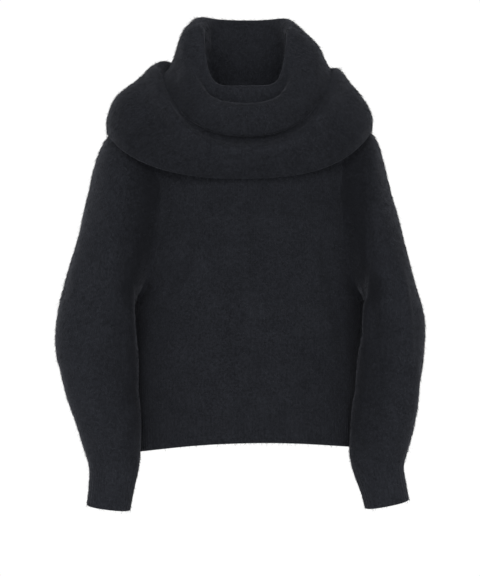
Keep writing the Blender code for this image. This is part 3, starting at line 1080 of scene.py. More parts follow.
    def sharpen(self, piece: bpy.types.Object, shape: tuple[int, ...]) -> None:
        """Mark the face's sewn borders sharp, so that it shades on across the seam.

        Args:
            piece: The piece of cloth.
            shape: Rows and columns.
        """
        number = np.arange(shape[0] * shape[1]).reshape(shape[:2])
        lines = [number[0], number[-1], number[:, 0], number[:, -1]]
        sewn = [self.seams[0], self.seams[1]] + [self.seams[2] and not self.ring] * 2
        pairs = []
        for line, wanted in zip(lines, sewn):
            if wanted:
                pairs.append(np.stack([line[:-1], line[1:]], axis=-1))
                if self.ring:
                    pairs.append(np.array([[line[-1], line[0]]]))
        wall = shape[0] * shape[1]
        pairs = np.concatenate(pairs + [side + wall for side in pairs])
        ends = np.empty(2 * len(piece.data.edges), np.int32)
        piece.data.edges.foreach_get("vertices", ends)
        base = len(piece.data.vertices)
        keys = np.sort(ends.reshape(-1, 2).astype(np.int64), axis=1) @ np.array([base, 1])
        wanted_keys = np.sort(pairs.astype(np.int64), axis=1) @ np.array([base, 1])
        sharp = piece.data.attributes.new("sharp_edge", "BOOLEAN", "EDGE")
        sharp.data.foreach_set("value", np.isin(keys, wanted_keys))

    def rounded_ends(self, grid: np.ndarray) -> list[np.ndarray]:
        """Find the middle line of the first and last edge, pushed out to round them.

        Args:
            grid: The middle of the cloth.

        Returns:
            Points for the first edge and for the last edge.
        """
        ends = []
        for edge, beside, sewn in ((0, 1, self.seams[0]), (-1, -2, self.seams[1])):
            out = unit(grid[edge] - grid[beside])
            ends.append(grid[edge] + out * (0.0 if sewn else 1.3))
        return ends

    def faces(self, grid: np.ndarray) -> tuple[np.ndarray, np.ndarray, np.ndarray]:
        """List the closed wall's faces with their places on the two maps.

        Args:
            grid: The middle of the cloth.

        Returns:
            Quads, and for each corner its knit map and its bake map.
        """
        rows, columns = grid.shape[:2]
        count = rows * columns
        last = columns if self.ring else columns - 1
        across, down = self.measure(grid)
        if self.ring:
            closing = np.linalg.norm(grid[:, 0] - grid[:, -1], axis=-1).mean() * MM
            across = np.concatenate([across, [across[-1] + closing]])
        row = np.arange(rows - 1)[:, None]
        column = np.arange(last)[None, :]
        after = (column + 1) % columns
        corners = [(row, column, column), (row, after, column + 1)]
        corners += [(row + 1, after, column + 1), (row + 1, column, column)]
        quad = np.stack([r * columns + c for r, c, _ in corners], axis=-1).reshape(-1, 4)
        at = np.stack(
            [np.stack(np.broadcast_arrays(across[u], down[r]), axis=-1) for r, _, u in corners],
            axis=-2,
        ).reshape(-1, 4, 2)
        width = across[-1]
        height = down[-1]
        share = at / np.array([width, height])
        face_bake = share * np.array([0.98, 0.47]) + np.array([0.01, 0.01])
        back_bake = share * np.array([0.98, 0.47]) + np.array([0.01, 0.51])
        faces = [quad, quad[:, ::-1] + count]
        knits = [at, at[:, ::-1]]
        bakes = [face_bake, back_bake[:, ::-1]]

        # The two end edges, each in two bands by way of its middle line
        first = np.arange(last)
        second = (first + 1) % columns
        for edge, base, middle, flip in (
            (0, 0, 2 * count, False), ((rows - 1) * columns, 0, 2 * count + columns, True),
        ):
            for near, far, lane in (
                (edge + first, middle + first, 0), (middle + first, edge + count + first, 1),
            ):
                near_after = near - first + second
                far_after = far - first + second
                band = np.stack([near, far, far_after, near_after], axis=-1)
                low = 0.002 * lane + (0.985 if flip else 0.992) + base
                u = np.stack([first, first, first + 1, first + 1], axis=-1) / last
                v = np.array([0.0, 0.0015, 0.0015, 0.0]) + low
                bake = np.stack(np.broadcast_arrays(u * 0.98 + 0.01, v), axis=-1)
                length = np.stack(
                    [across[first], across[first], across[first + 1], across[first + 1]], axis=-1
                )
                knit = np.stack([length, np.full(length.shape, height if flip else 0.0)], axis=-1)
                if flip:
                    band = band[:, ::-1]
                    bake = bake[:, ::-1]
                    knit = knit[:, ::-1]
                faces.append(band)
                knits.append(knit)
                bakes.append(bake)

        # Side edges of an open piece
        if not self.ring:
            start = np.arange(rows - 1) * columns
            for base, lane, flip in ((0, 0, False), (columns - 1, 1, True)):
                near = start + base
                band = np.stack([near, near + columns, near + columns + count, near + count], axis=-1)
                v = np.stack([down[:-1], down[1:], down[1:], down[:-1]], axis=-1)
                x = 0.002 + 0.992 * lane
                bake = np.stack([np.array([0.0, 0.0, 0.004, 0.004]) + x + 0 * v, v / height * 0.9], axis=-1)
                knit = np.stack([np.full(v.shape, across[base]), v], axis=-1)
                if flip:
                    band, bake, knit = band[:, ::-1], bake[:, ::-1], knit[:, ::-1]
                faces.append(band)
                knits.append(knit)
                bakes.append(bake)
            ends = self.end_corners(rows, columns, count)
            faces.append(ends)
            knits.append(np.zeros((len(ends), 4, 2)))
            bakes.append(np.zeros((len(ends), 4, 2)) + np.array([0.0, 0.999]))
        return np.concatenate(faces), np.concatenate(knits), np.concatenate(bakes)

    @staticmethod
    def end_corners(rows: int, columns: int, count: int) -> np.ndarray:
        """Close the small triangles where a side edge meets an end's middle line.

        Args:
            rows: Rows of the grid.
            columns: Columns of the grid.
            count: Points on one side of the wall.

        Returns:
            Triangles, written as quads with their last corner repeated.
        """
        found = []
        for edge, middle, low in ((0, 2 * count, True), ((rows - 1) * columns, 2 * count + columns, False)):
            for column in (0, columns - 1):
                a = edge + column
                triangle = (a, a + count, middle + column)
                if low == (column == 0):
                    triangle = triangle[::-1]
                found.append((*triangle, triangle[-1]))
        return np.array(found)

    def build_nap(
        self, outer: np.ndarray, normal: np.ndarray, painted_shading: np.ndarray, wardrobe: Wardrobe
    ) -> bpy.types.Object:
        """Scatter fibres over the face of the cloth, each a tapered ribbon bent over.

        Args:
            outer: The cloth's outer points.
            normal: Its outward normals.
            painted_shading: Painted shade at each point, and painted light where below 0; it also darkens or lightens
                the fibres.
            wardrobe: The materials.

        Returns:
            One object of all the fibres.
        """
        rng = np.random.default_rng(self.nap.seed)
        rows, columns = outer.shape[:2]
        ends = np.roll(outer, -1, axis=1) if self.ring else outer[:, 1:]
        starts = outer if self.ring else outer[:, :-1]
        cell = np.linalg.norm(
            np.cross((ends - starts)[:-1], starts[1:] - starts[:-1]), axis=-1
        )
        chance = np.cumsum(cell.reshape(-1))
        pick = np.searchsorted(chance, rng.random(self.nap.count) * chance[-1])
        row, column = np.divmod(pick, cell.shape[1])
        after = (column + 1) % columns
        s = rng.random((self.nap.count, 1))
        t = rng.random((self.nap.count, 1))

        def read(values: np.ndarray) -> np.ndarray:
            """Blend a grid's four corners at each fibre's root."""
            top = values[row, column] * (1 - s) + values[row, after] * s
            low = values[row + 1, column] * (1 - s) + values[row + 1, after] * s
            return top * (1 - t) + low * t

        root = read(outer)
        up = unit(read(normal))
        down = unit(outer[row + 1, column] - outer[row, column])
        down = np.where(down[:, 2:] > 0, -down, down)
        side = unit(np.cross(up, down))
        turn = rng.normal(0.0, 0.95, (self.nap.count, 1))
        lie = unit(np.cos(turn) * down + np.sin(turn) * side)
        length = rng.uniform(*self.nap.length, (self.nap.count, 1))
        slope = rng.uniform(*self.nap.lift, (self.nap.count, 1))
        stray = rng.random((self.nap.count, 1)) < 0.025
        slope = np.where(stray, slope + 0.35, slope)
        bend = rng.normal(0.0, 0.35, (self.nap.count, 1))
        sideways = np.cross(up, lie)
        middle = root + length * 0.5 * (lie + up * slope) + sideways * bend * length * 0.15
        tip = root + length * (lie * 0.97 + up * slope * np.where(stray, 1.25, 0.9))
        tip = tip + sideways * bend * length * 0.5
        roll = rng.uniform(-1.1, 1.1, (self.nap.count, 1))
        flat = unit(sideways * np.cos(roll) + up * np.sin(roll)) * self.nap.width / 2
        root = root - up * 0.3
        points = np.stack(
            [root - flat, root + flat, middle + flat * 0.85, middle - flat * 0.85, tip], axis=1
        )
        base = (np.arange(self.nap.count) * 5)[:, None]
        triangles = np.concatenate(
            [base + np.array([0, 1, 2]), base + np.array([0, 2, 3]), base + np.array([3, 2, 4])],
            axis=1,
        ).reshape(-1, 3)
        # Painted shade: fibres darken where the cloth has painted shade and lighten where it has painted light.
        painted_shading_factor = np.maximum(1 - 0.85 * read(painted_shading[..., None])[:, 0], 0.0)
        tone = rng.random(self.nap.count) ** 1.6 * painted_shading_factor
        per_line = math.ceil(math.sqrt(self.nap.count))
        spot = np.stack(np.divmod(np.arange(self.nap.count), per_line), axis=-1) / per_line
        shape = np.array([(0.1, 0.1), (0.9, 0.1), (0.8, 0.5), (0.2, 0.5), (0.5, 0.9)]) / per_line
        bake = (spot[:, None] + shape[None]).reshape(-1, 2)[triangles]
        nap = mesh_object(
            self.node + "_nap",
            points.reshape(-1, 3) * MM,
            triangles,
            {"OFBake": bake},
            ("tone", np.repeat(tone, 5)),
        )
        nap.data.materials.append(wardrobe.get(NapFinish()))
        return nap


def signed_volume(points: np.ndarray, faces: np.ndarray) -> float:
    """Find the signed volume of a closed mesh.

    Args:
        points: Its points.
        faces: Its quads.

    Returns:
        The volume, negative when the faces point inwards.
    """
    corner = points[faces]
    total = 0.0
    for second, third in ((1, 2), (2, 3)):
        total += float(np.sum(corner[:, 0] * np.cross(corner[:, second], corner[:, third])))
    return total / 6


def half_area(points: np.ndarray, faces: np.ndarray) -> float:
    """Find half of a closed wall's surface.

    Args:
        points: Its points.
        faces: Its quads.

    Returns:
        The area of one side of the cloth, in square metres.
    """
    corner = points[faces]
    total = 0.0
    for second, third in ((1, 2), (2, 3)):
        cross = np.cross(corner[:, second] - corner[:, 0], corner[:, third] - corner[:, 0])
        total += float(np.linalg.norm(cross, axis=-1).sum()) / 2
    return total / 2


def mesh_object(
    name: str,
    points: np.ndarray,
    faces: np.ndarray,
    maps: dict[str, np.ndarray],
    values: tuple[str, np.ndarray],
) -> bpy.types.Object:
    """Make a smooth-shaded mesh object from arrays.

    Args:
        name: The object's name.
        points: Points in metres.
        faces: Triangles or quads. A quad whose last two corners are one is a triangle.
        maps: UV maps by name, one place for each corner of each face.
        values: An attribute's name and its number at each point.

    Returns:
        The new object.
    """
    keep = np.ones(faces.shape, bool)
    if faces.shape[1] == 4:
        keep[:, 3] = faces[:, 3] != faces[:, 2]
        keep[:, 1] = faces[:, 1] != faces[:, 0]
    sizes = keep.sum(axis=1)
    mesh = bpy.data.meshes.new(name)
    mesh.vertices.add(len(points))
    mesh.vertices.foreach_set("co", np.ascontiguousarray(points, np.float32).reshape(-1))
    mesh.loops.add(int(sizes.sum()))
    mesh.loops.foreach_set("vertex_index", faces[keep].astype(np.int32))
    mesh.polygons.add(len(faces))
    starts = np.concatenate([[0], np.cumsum(sizes)[:-1]]).astype(np.int32)
    mesh.polygons.foreach_set("loop_start", starts)
    mesh.update(calc_edges=True)
    mesh.polygons.foreach_set("use_smooth", np.ones(len(faces), bool))
    for title, places in maps.items():
        layer = mesh.uv_layers.new(name=title)
        layer.data.foreach_set("uv", places[keep].astype(np.float32).reshape(-1))
    attribute = mesh.attributes.new(values[0], "FLOAT", "POINT")
    attribute.data.foreach_set("value", values[1].astype(np.float32))
    mesh.validate()
    piece = bpy.data.objects.new(name, mesh)
    bpy.context.scene.collection.objects.link(piece)
    return piece


# The garment's parts


@dataclass
class Collar:
    """The tall tube of knit, turned over outwards in a roll and a wide lower tier.

    Attributes:
        neck: Its form.
        rows: Rows from the neckline to the free edge.
        columns: Columns round the neck.
        fibres: Number of fibres.
    """

    neck: NeckForm
    rows: int = 128
    columns: int = 300
    fibres: int = 52000

    def folds(self) -> tuple[Fold, ...]:
        """List the collar's folds.

        Returns:
            The folds of the roll, the lower tier and the back.
        """
        tier = (0.66, 1.0)
        roll = (0.28, 0.6)
        well = (0.02, 0.3)
        return (
            Fold(((-56, 124), (-55, 100), (-52, 78)), -5.0, 8.0, Side.BACK, well),
            Fold(((-40, 120), (-38, 95), (-40, 70)), 2.5, 12.0, Side.BACK, well),
            Fold(((-5, 88), (2, 72), (6, 60)), -1.6, 7.0, Side.BACK, well),
            Fold(((-114, 52), (-110, 38), (-106, 22)), -4.0, 7.0, Side.FRONT, roll),
            Fold(((-98, 55), (-92, 30), (-84, 8)), 2.0, 10.0, Side.FRONT, roll),
            Fold(((-60, -8), (-20, -24), (30, -22), (66, -4)), 1.5, 7.0, Side.FRONT, roll),
            Fold(((86, 60), (92, 36), (84, 8)), 2.0, 12.0, Side.FRONT, roll),
            Fold(((-160, -14), (-132, -40), (-104, -68)), -4.0, 9.0, Side.FRONT, tier),
            Fold(((-150, 0), (-118, -30), (-90, -55)), 2.6, 12.0, Side.FRONT, tier),
            Fold(((163, -26), (148, -44), (134, -60)), -2.4, 8.0, Side.FRONT, tier),
            Fold(((172, -20), (160, -42), (146, -66)), 2.0, 10.0, Side.FRONT, tier),
            Fold(((-100, -104), (-36, -110), (40, -112), (100, -104)), -1.6, 11.0, Side.FRONT, tier),
            Fold(((-110, -84), (-40, -92), (40, -93), (108, -82)), 1.6, 10.0, Side.FRONT, tier),
            Fold(((-150, 20), (-90, -2), (-20, -22), (60, -14)), -3.0, 15.0, Side.BACK, tier),
            Fold(((20, 8), (90, 12), (150, 30)), -2.6, 13.0, Side.BACK, tier),
            Fold(((-120, -20), (-50, -46), (30, -52)), 2.8, 16.0, Side.BACK, tier),
            Fold(((60, -30), (120, -14), (165, 0)), 2.2, 12.0, Side.BACK, tier),
            Fold(((-70, 96), (-20, 84), (40, 90)), -2.4, 11.0, Side.BACK, roll),
            Fold(((-30, 110), (30, 106), (70, 98)), 1.8, 9.0, Side.BACK, roll),
        )

    def build(self, wardrobe: Wardrobe) -> bpy.types.Object:
        """Make the collar.

        Args:
            wardrobe: The materials.

        Returns:
            The piece.
        """
        return Cloth(
            node="collar",
            finish=Finish.KNIT,
            ring=True,
            folds=self.folds(),
            flat=(1.17, 0.44),
            area=0.289,
            hangs_on=("front_panel", "back_panel"),
            nap=Nap(self.fibres, seed=11),
            shape=lambda: self.neck.cloth(self.rows, self.columns),
            wave=1.2,
            seams=(True, False, False),
            dips=(0.5, 0.0, 0.0),
            paint_shading=self.neck.painted_shading_rows,
        ).build(wardrobe)


@dataclass
class Body:
    """The front and back panels and the ribbed bands under them.

    Attributes:
        form: The body's form.
        neck: The neck that the panels meet.
        rows: Rows up a panel.
        columns: Columns across a panel.
        rib_depth: Depth of the hem rib.
        draw_in: How far the rib draws in at its edge.
        ribs: Ribs across one band.
    """

    form: BodyForm
    neck: NeckForm
    rows: int = 112
    columns: int = 112
    rib_depth: float = 58.0
    draw_in: float = 2.0
    ribs: int = 60

    def front_folds(self) -> tuple[Fold, ...]:
        """List the front panel's folds.

        Returns:
            The folds.
        """
        return (
            Fold(((-82, -196), (-88, -260), (-106, -292), (-124, -318)), -2.6, 11.0),
            Fold(((-70, -200), (-76, -262), (-92, -300), (-116, -336)), 2.0, 14.0),
            Fold(((120, -140), (129, -250), (138, -300), (150, -360), (158, -430)), -2.4, 13.0),
            Fold(((104, -150), (112, -250), (122, -310), (136, -380), (142, -440)), 2.4, 15.0),
            Fold(((-20, -200), (-34, -300), (-40, -410)), 1.4, 26.0),
            Fold(((48, -210), (62, -320), (70, -430)), -1.4, 24.0),
            Fold(((-130, -330), (-96, -380), (-80, -440)), -1.6, 16.0),
            Fold(((150, -310), (112, -350), (60, -372)), -1.5, 14.0),
            Fold(((-140, -250), (-124, -300), (-128, -352)), 1.5, 12.0),
        )

    def back_folds(self) -> tuple[Fold, ...]:
        """List the back panel's folds.

        Returns:
            The folds.
        """
        return (
            Fold(((-96, -150), (-104, -240), (-92, -330), (-84, -430)), -2.8, 15.0, Side.BACK),
            Fold(((-72, -150), (-80, -250), (-68, -350), (-60, -440)), 2.6, 17.0, Side.BACK),
            Fold(((110, -150), (116, -230), (126, -310), (134, -400)), -2.8, 14.0, Side.BACK),
            Fold(((88, -160), (92, -250), (104, -340), (112, -440)), 2.4, 16.0, Side.BACK),
            Fold(((10, -180), (-4, -300), (6, -430)), -1.8, 24.0, Side.BACK),
            Fold(((-150, -310), (-112, -338), (-60, -352)), -2.4, 11.0, Side.BACK),
            Fold(((160, -320), (124, -352), (74, -380)), -2.2, 12.0, Side.BACK),
            Fold(((-120, -360), (-70, -392), (0, -404)), 1.8, 14.0, Side.BACK),
        )

    def band(self, back: bool) -> np.ndarray:
        """Find a hem rib's cloth.

        Args:
            back: Whether it is the back's.

        Returns:
            Rows going down by columns by 3.
        """
        panel = self.form.panel(self.neck, back)[:3]
        edge = finer(panel, 3, self.ribs * 8 + 1, ring=False)
        normal = grid_normals(edge, ring=False)[0]
        if np.sum(normal[:, 1]) * (1 if back else -1) < 0:
            normal = -normal
        share = np.linspace(0, 1, 16)[:, None, None]
        inward = unit(normal * np.array([1.0, 1.0, 0.0])) * -self.draw_in
        return edge[0] + share * np.array([0.0, 0.0, -self.rib_depth]) + share**2 * inward

    def build(self, wardrobe: Wardrobe) -> None:
        """Make the panels and bands.

        Args:
            wardrobe: The materials.
        """
        for name, back, folds, seed, flat, area, band in (
            ("front", False, self.front_folds(), 21, (0.425, 0.52), 0.163, (0.445, 0.058)),
            ("back", True, self.back_folds(), 22, (0.53, 0.545), 0.203, (0.55, 0.058)),
        ):
            Cloth(
                node=name + "_panel",
                finish=Finish.KNIT,
                ring=False,
                folds=folds,
                flat=flat,
                area=area,
                hangs_on=("collar", "left_sleeve", "right_sleeve"),
                nap=Nap(20000, seed=seed),
                paint_shading=painted_shading_sides,
                shape=lambda back=back: self.form.cloth(self.neck, back, self.rows, self.columns),
            ).build(wardrobe)
            Cloth(
                node=name + "_hem_rib",
                finish=Finish.RIB,
                ring=False,
                folds=(),
                flat=band,
                area=band[0] * band[1],
                hangs_on=(name + "_panel",),
                nap=Nap(3600, length=(4.0, 9.0), seed=seed + 10),
                shape=lambda back=back: self.band(back),
                ribs=self.ribs,
                wave=0.8,
                seams=(True, False, True),
                dips=(0.0, 0.0, 0.3),
                paint_shading=painted_shading_sides,
            ).build(wardrobe)


def near_underarm(grid: np.ndarray) -> np.ndarray:
    """How near cloth is to the lower end of an armhole, where three pieces meet.

    Args:
        grid: A piece's cloth.

    Returns:
        Rows by columns: 1 at either underarm and 0 from 34 mm away.
    """
    away = [
        np.hypot(grid[..., 0] - x, grid[..., 2] - z)
        for x, z in ((-166.0, -306.0), (190.0, -302.0))
    ]
    return np.clip(1.0 - np.minimum(*away) / 34.0, 0, 1)


def painted_shading_across(
    grid: np.ndarray, table: tuple[tuple[float, float], ...], cuff: bool
) -> np.ndarray:
    """Paint shade on a sleeve's side that lies against the body, and paint light on its outer side, both less towards
    the hand.

    Args:
        grid: The sleeve's or the cuff's cloth.
        table: Painted shade by the share of the way out from the body; below 0 painted light.
        cuff: Whether the cloth is the cuff's.

    Returns:
        Rows by columns of painted shade; below 0 it is painted light.
    """
    out = np.abs(grid[..., 0] - 4.0)
    near = out.min(axis=1, keepdims=True)
    share = (out - near) / (out.max(axis=1, keepdims=True) - near)
    shares, values = zip(*table)
    across = np.interp(share, shares, values)
    down = np.linspace(0, 1, len(grid))[:, None]
    # Painted shade on the cuff is weaker, with painted light growing down it.
    if cuff:
        return 0.4 * across - 0.2 - 0.25 * np.minimum(down * 2, 1)
    wrist = np.clip((down - 0.75) / 0.25, 0, 1) ** 1.5
    # Painted shade at the underarm, where sleeve and body meet, and painted light towards the wrist.
    return across * (1 - 0.6 * wrist) - 0.2 * wrist + 1.4 * near_underarm(grid)


def painted_shading_sides(grid: np.ndarray) -> np.ndarray:
    """Paint shade on a body panel where the sleeves lie against it and at the underarm, and a little everywhere.

    Args:
        grid: The panel's or the rib's cloth.

    Returns:
        Rows by columns, most at the sides.
    """
    out = np.abs(grid[..., 0] - 8.0)
    # Painted shade: even 0.22, more towards the sides next to the sleeves, most at the underarm.
    return 0.22 + 0.73 * np.clip((out - 150.0) / 24.0, 0, 1) + 1.4 * near_underarm(grid)


@dataclass
class Sleeve:
    """A balloon sleeve and its ribbed cuff.

    Attributes:
        name: The side's name, as in the solids.
        form: Its form.
        loop: The armhole's edge.
        folds: Folds on the sleeve.
        cuff_folds: Folds on the cuff.
        seed: Seed of the fibres.
        painted_shading: Painted shade by the share of the way out from the body; below 0 painted light.
        flat: Width round the armhole and length down the outer side of the cut, in metres.
        area: Flat area of its cut, in square metres.
        rows: Rows down the sleeve.
        columns: Columns round the sleeve.
        cuff_ribs: Ribs round the cuff.
    """

    name: str
    form: SleeveForm
    loop: np.ndarray
    folds: tuple[Fold, ...]
    cuff_folds: tuple[Fold, ...]
    seed: int
    painted_shading: tuple[tuple[float, float], ...]
    flat: tuple[float, float]
    area: float
    rows: int = 150
    columns: int = 108
    cuff_ribs: int = 36

    def build(self, wardrobe: Wardrobe) -> None:
        """Make the sleeve and the cuff.

        Args:
            wardrobe: The materials.
        """
        Cloth(
            node=self.name + "_sleeve",
            finish=Finish.KNIT,
            ring=True,
            folds=self.folds,
            flat=self.flat,
            area=self.area,
            hangs_on=("front_panel", "back_panel"),
            nap=Nap(22000, seed=self.seed),
            dips=(0.2, 0.0, 0.0),
            paint_shading=lambda grid: painted_shading_across(grid, self.painted_shading, cuff=False),
            shape=lambda: self.form.cloth(self.loop, self.rows, self.columns, cuff=False),
        ).build(wardrobe)
        Cloth(
            node=self.name + "_cuff",
            finish=Finish.RIB,
            ring=True,
            folds=self.cuff_folds,
            flat=(0.235, 0.077),
            area=0.0158,
            hangs_on=(self.name + "_sleeve",),
            nap=Nap(2200, length=(4.0, 9.0), seed=self.seed + 1),
            shape=lambda: self.form.cloth(self.loop, 16, self.cuff_ribs * 8, cuff=True),
            ribs=self.cuff_ribs,
            wave=0.6,
            seams=(True, False, False),
            dips=(0.0, 0.0, 0.0),
            paint_shading=lambda grid: painted_shading_across(grid, self.painted_shading, cuff=True),
        ).build(wardrobe)


LEFT_SECTIONS = (
    (-190, 0, -45, -175, -44, -331, 70, 14),
    (-216, -5, -62, -174, -54, -348, 69, 13),
    (-231, -14, -95, -171, -62, -365, 67, 10),
    (-243, -28, -152, -168, -67, -382, 63, 7),
    (-260, -44, -222, -166, -70, -400, 59, 4),
    (-279, -56, -290, -165, -72, -418, 55, 2),
    (-290, -64, -350, -164, -73, -438, 51, 0),
    (-290, -69, -405, -164, -73, -460, 47, 0),
    (-276, -71, -460, -161, -73, -487, 44, 0),
    (-258, -72, -515, -160, -73, -526, 40, 0),
    (-242, -72, -566, -163, -73, -572, 33, 0),
    (-238, -72, -584, -166, -73, -589, 30, 0),
    (-239, -72, -612, -173, -73, -619, 29, 0),
    (-242, -72, -639, -178, -73, -647, 29, 0),
)
RIGHT_SECTIONS = (
    (196, 0, -48, 193, -44, -329, 68, -8),
    (211, -5, -65, 193, -54, -346, 68, -6),
    (221, -14, -98, 190, -62, -363, 66, -5),
    (236, -28, -160, 186, -67, -382, 63, -5),
    (253, -44, -226, 182, -70, -400, 58, -3),
    (269, -56, -290, 179, -72, -418, 53, -2),
    (281, -64, -350, 177, -73, -438, 49, 0),
    (281, -69, -405, 175, -73, -460, 46, 0),
    (275, -71, -460, 171, -73, -487, 43, 0),
    (266, -72, -515, 168, -73, -528, 39, 0),
    (252, -72, -566, 170, -73, -574, 33, 0),
    (249, -72, -580, 175, -73, -590, 30, 0),
    (253, -72, -608, 186, -73, -620, 29, 0),
    (257, -72, -631, 192, -73, -644, 29, 0),
)
LEFT_FOLDS = (
    Fold(((-158, -120), (-170, -190), (-180, -270), (-186, -350), (-190, -450)), -9.0, 15.0),
    Fold(((-196, -150), (-212, -240), (-218, -330)), 2.4, 16.0),
    Fold(((-240, -240), (-250, -310), (-250, -390)), -1.6, 14.0),
    Fold(((-262, -380), (-236, -430), (-206, -462)), -2.0, 12.0),
    Fold(((-180, -420), (-208, -470), (-214, -530)), -1.8, 11.0),
    Fold(((-246, -470), (-226, -520), (-220, -560)), 1.8, 10.0),
    Fold(((-196, -500), (-188, -540), (-184, -568)), 1.5, 8.0),
    Fold(((-230, -140), (-246, -240), (-256, -330)), -2.2, 15.0, Side.BACK),
    Fold(((-196, -180), (-212, -280), (-206, -380)), 2.2, 16.0, Side.BACK),
    Fold(((-270, -400), (-232, -440), (-190, -450)), -2.4, 12.0, Side.BACK),
    Fold(((-250, -480), (-216, -520), (-200, -560)), -1.8, 10.0, Side.BACK),
    Fold(((-30, -170), (-62, -260), (-84, -340)), -2.2, 15.0, Side.LEFT),
    Fold(((-96, -390), (-70, -440), (-50, -480)), -2.2, 12.0, Side.LEFT),
    Fold(((-20, -240), (-38, -330), (-60, -410)), 2.0, 15.0, Side.LEFT),
)
RIGHT_FOLDS = (
    Fold(((244, -244), (251, -310), (255, -380), (252, -450)), 4.5, 9.0),
    Fold(((222, -200), (230, -260), (232, -300)), 1.6, 11.0),
    Fold(((206, -190), (212, -280), (216, -350), (218, -420), (216, -500)), -8.0, 15.0),
    Fold(((178, -110), (186, -170), (192, -240), (196, -290)), -3.5, 11.0),
    Fold(((194, -308), (193, -345), (190, -385)), 6.5, 14.0),
    Fold(((238, -330), (240, -390), (238, -450)), -2.0, 7.0),
    Fold(((262, -400), (236, -440), (206, -466)), -2.0, 12.0),
    Fold(((190, -430), (214, -480), (222, -540)), -1.8, 11.0),
    Fold(((246, -480), (238, -520), (230, -560)), 1.8, 10.0),
    Fold(((226, -140), (240, -240), (250, -330)), -2.2, 15.0, Side.BACK),
    Fold(((200, -200), (214, -290), (210, -390)), 2.2, 16.0, Side.BACK),
    Fold(((266, -390), (232, -436), (196, -456)), -2.4, 12.0, Side.BACK),
    Fold(((250, -490), (222, -520), (204, -556)), -1.8, 10.0, Side.BACK),
    Fold(((-36, -180), (-58, -270), (-92, -350)), -2.2, 15.0, Side.RIGHT),
    Fold(((-92, -400), (-76, -446), (-52, -490)), -2.2, 12.0, Side.RIGHT),
    Fold(((-14, -250), (-36, -340), (-56, -420)), 2.0, 15.0, Side.RIGHT),
)
# Painted shade on each sleeve's side next to the body, and painted light on its outer side.
LEFT_PAINTED_SHADING = ((0.0, 1.7), (0.06, 1.1), (0.14, 0.65), (0.3, 0.25), (0.56, -0.15), (1.0, -0.9))
RIGHT_PAINTED_SHADING = ((0.0, 1.7), (0.06, 1.1), (0.14, 0.75), (0.35, 0.65), (0.6, -0.05), (0.8, -0.2), (1.0, -0.35))
LEFT_CUFF_FOLDS = (Fold(((-222, -590), (-216, -615), (-220, -640)), -1.2, 7.0),)
RIGHT_CUFF_FOLDS = (Fold(((216, -590), (226, -615), (232, -640)), -1.2, 7.0),)


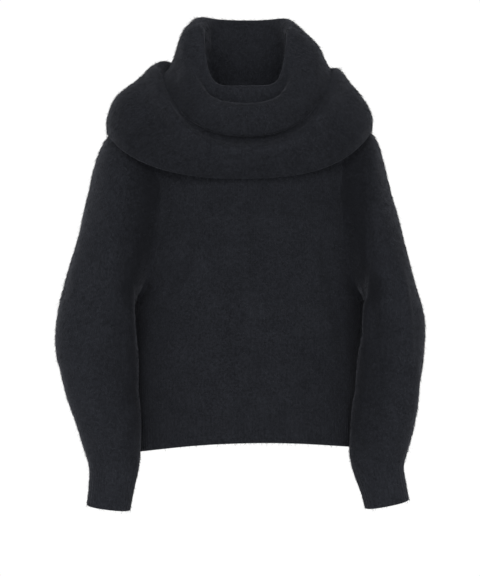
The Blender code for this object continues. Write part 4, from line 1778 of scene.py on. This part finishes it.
@dataclass(frozen=True)
class Studio:
    """The pale floor, the soft light and the camera.

    Attributes:
        floor_drop: Height of the floor under the garment's origin, in metres.
        floor_reach: Radius of the floor, in metres.
        eye: The camera's place, in metres.
        lens: Its focal length, in millimetres on a 36 mm sensor.
        backdrop: Brightness of the white backdrop that the camera sees.
        sky: Strength of the even white light on the garment.
        lamps: Place, width, height and power of each soft lamp, aimed at the garment.
        target: The point that the lamps face.
    """

    floor_drop: float = -1.42
    floor_reach: float = 3.6
    eye: tuple[float, float, float] = (-0.0048, -3.0, -0.301)
    lens: float = 117.1875
    backdrop: float = 1.02
    sky: float = 0.34
    lamps: tuple[tuple[tuple[float, float, float], float, float, float], ...] = (
        ((-1.2, -3.4, 1.3), 1.6, 1.6, 26.0),
        ((1.3, -3.4, 1.0), 1.6, 1.6, 18.0),
        ((0.0, -3.8, 0.4), 1.8, 1.4, 34.0),
        ((0.0, -3.4, -1.1), 1.8, 0.8, 26.0),
        ((-2.3, 1.5, 0.4), 1.6, 2.0, 26.0),
        ((2.3, 1.5, 0.4), 1.6, 2.0, 14.0),
    )
    target: tuple[float, float, float] = (0.0, 0.0, -0.25)

    def build(self) -> None:
        """Make the floor, the light and the camera."""
        bpy.ops.mesh.primitive_circle_add(
            vertices=96, radius=self.floor_reach, fill_type="NGON", location=(0, 0, self.floor_drop)
        )
        floor = bpy.context.object
        floor.name = "floor"
        material = bpy.data.materials.new("pale_floor")
        material.use_nodes = True
        shader = material.node_tree.nodes["Principled BSDF"]
        shader.inputs["Base Color"].default_value = (0.86, 0.86, 0.87, 1.0)
        shader.inputs["Roughness"].default_value = 0.8
        floor.data.materials.append(material)

        world = bpy.data.worlds.new("studio")
        world.use_nodes = True
        tree = world.node_tree
        light = tree.nodes["Background"]
        light.inputs["Strength"].default_value = self.sky
        seen = tree.nodes.new("ShaderNodeBackground")
        seen.inputs["Strength"].default_value = self.backdrop
        for node in (light, seen):
            node.inputs["Color"].default_value = (1.0, 1.0, 1.0, 1.0)
        ray = tree.nodes.new("ShaderNodeLightPath")
        mix = tree.nodes.new("ShaderNodeMixShader")
        tree.links.new(ray.outputs["Is Camera Ray"], mix.inputs[0])
        tree.links.new(light.outputs[0], mix.inputs[1])
        tree.links.new(seen.outputs[0], mix.inputs[2])
        tree.links.new(mix.outputs[0], tree.nodes["World Output"].inputs["Surface"])
        bpy.context.scene.world = world
        for number, (place, width, height, power) in enumerate(self.lamps):
            data = bpy.data.lights.new(f"softbox_{number}", "AREA")
            data.shape = "RECTANGLE"
            data.size = width
            data.size_y = height
            data.energy = power
            lamp = bpy.data.objects.new(f"softbox_{number}", data)
            lamp.location = place
            aim = np.array(self.target) - np.array(place)
            lamp.rotation_euler = (
                math.atan2(math.hypot(aim[0], aim[1]), -aim[2]), 0.0, math.atan2(-aim[0], aim[1]),
            )
            lamp.visible_camera = False
            bpy.context.scene.collection.objects.link(lamp)

        data = bpy.data.cameras.new("camera")
        data.sensor_width = 36.0
        data.lens = self.lens
        camera = bpy.data.objects.new("camera", data)
        camera.location = self.eye
        camera.rotation_euler = (math.pi / 2, 0.0, 0.0)
        bpy.context.scene.collection.objects.link(camera)
        bpy.context.scene.camera = camera
        bpy.context.scene.view_settings.view_transform = "Standard"


def main() -> None:
    """Build the dressed sweater and its studio."""
    logging.basicConfig(level=logging.INFO, format="%(message)s")
    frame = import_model()
    LOG.info("frame: %d nodes", len(frame["nodes"]))
    neck = NeckForm()
    body = BodyForm()
    wardrobe = Wardrobe()
    Studio().build()
    Collar(neck).build(wardrobe)
    Body(body, neck).build(wardrobe)
    for name, sections, folds, cuff_folds, seed, painted_shading, flat, area in (
        ("left", LEFT_SECTIONS, LEFT_FOLDS, LEFT_CUFF_FOLDS, 41, LEFT_PAINTED_SHADING, (0.675, 0.595), 0.173),
        ("right", RIGHT_SECTIONS, RIGHT_FOLDS, RIGHT_CUFF_FOLDS, 51, RIGHT_PAINTED_SHADING, (0.67, 0.57), 0.152),
    ):
        form = SleeveForm(sections)
        loop = body.armhole(neck, name == "left")
        Sleeve(name, form, loop, folds, cuff_folds, seed, painted_shading, flat, area).build(wardrobe)


if __name__ == "__main__":
    main()
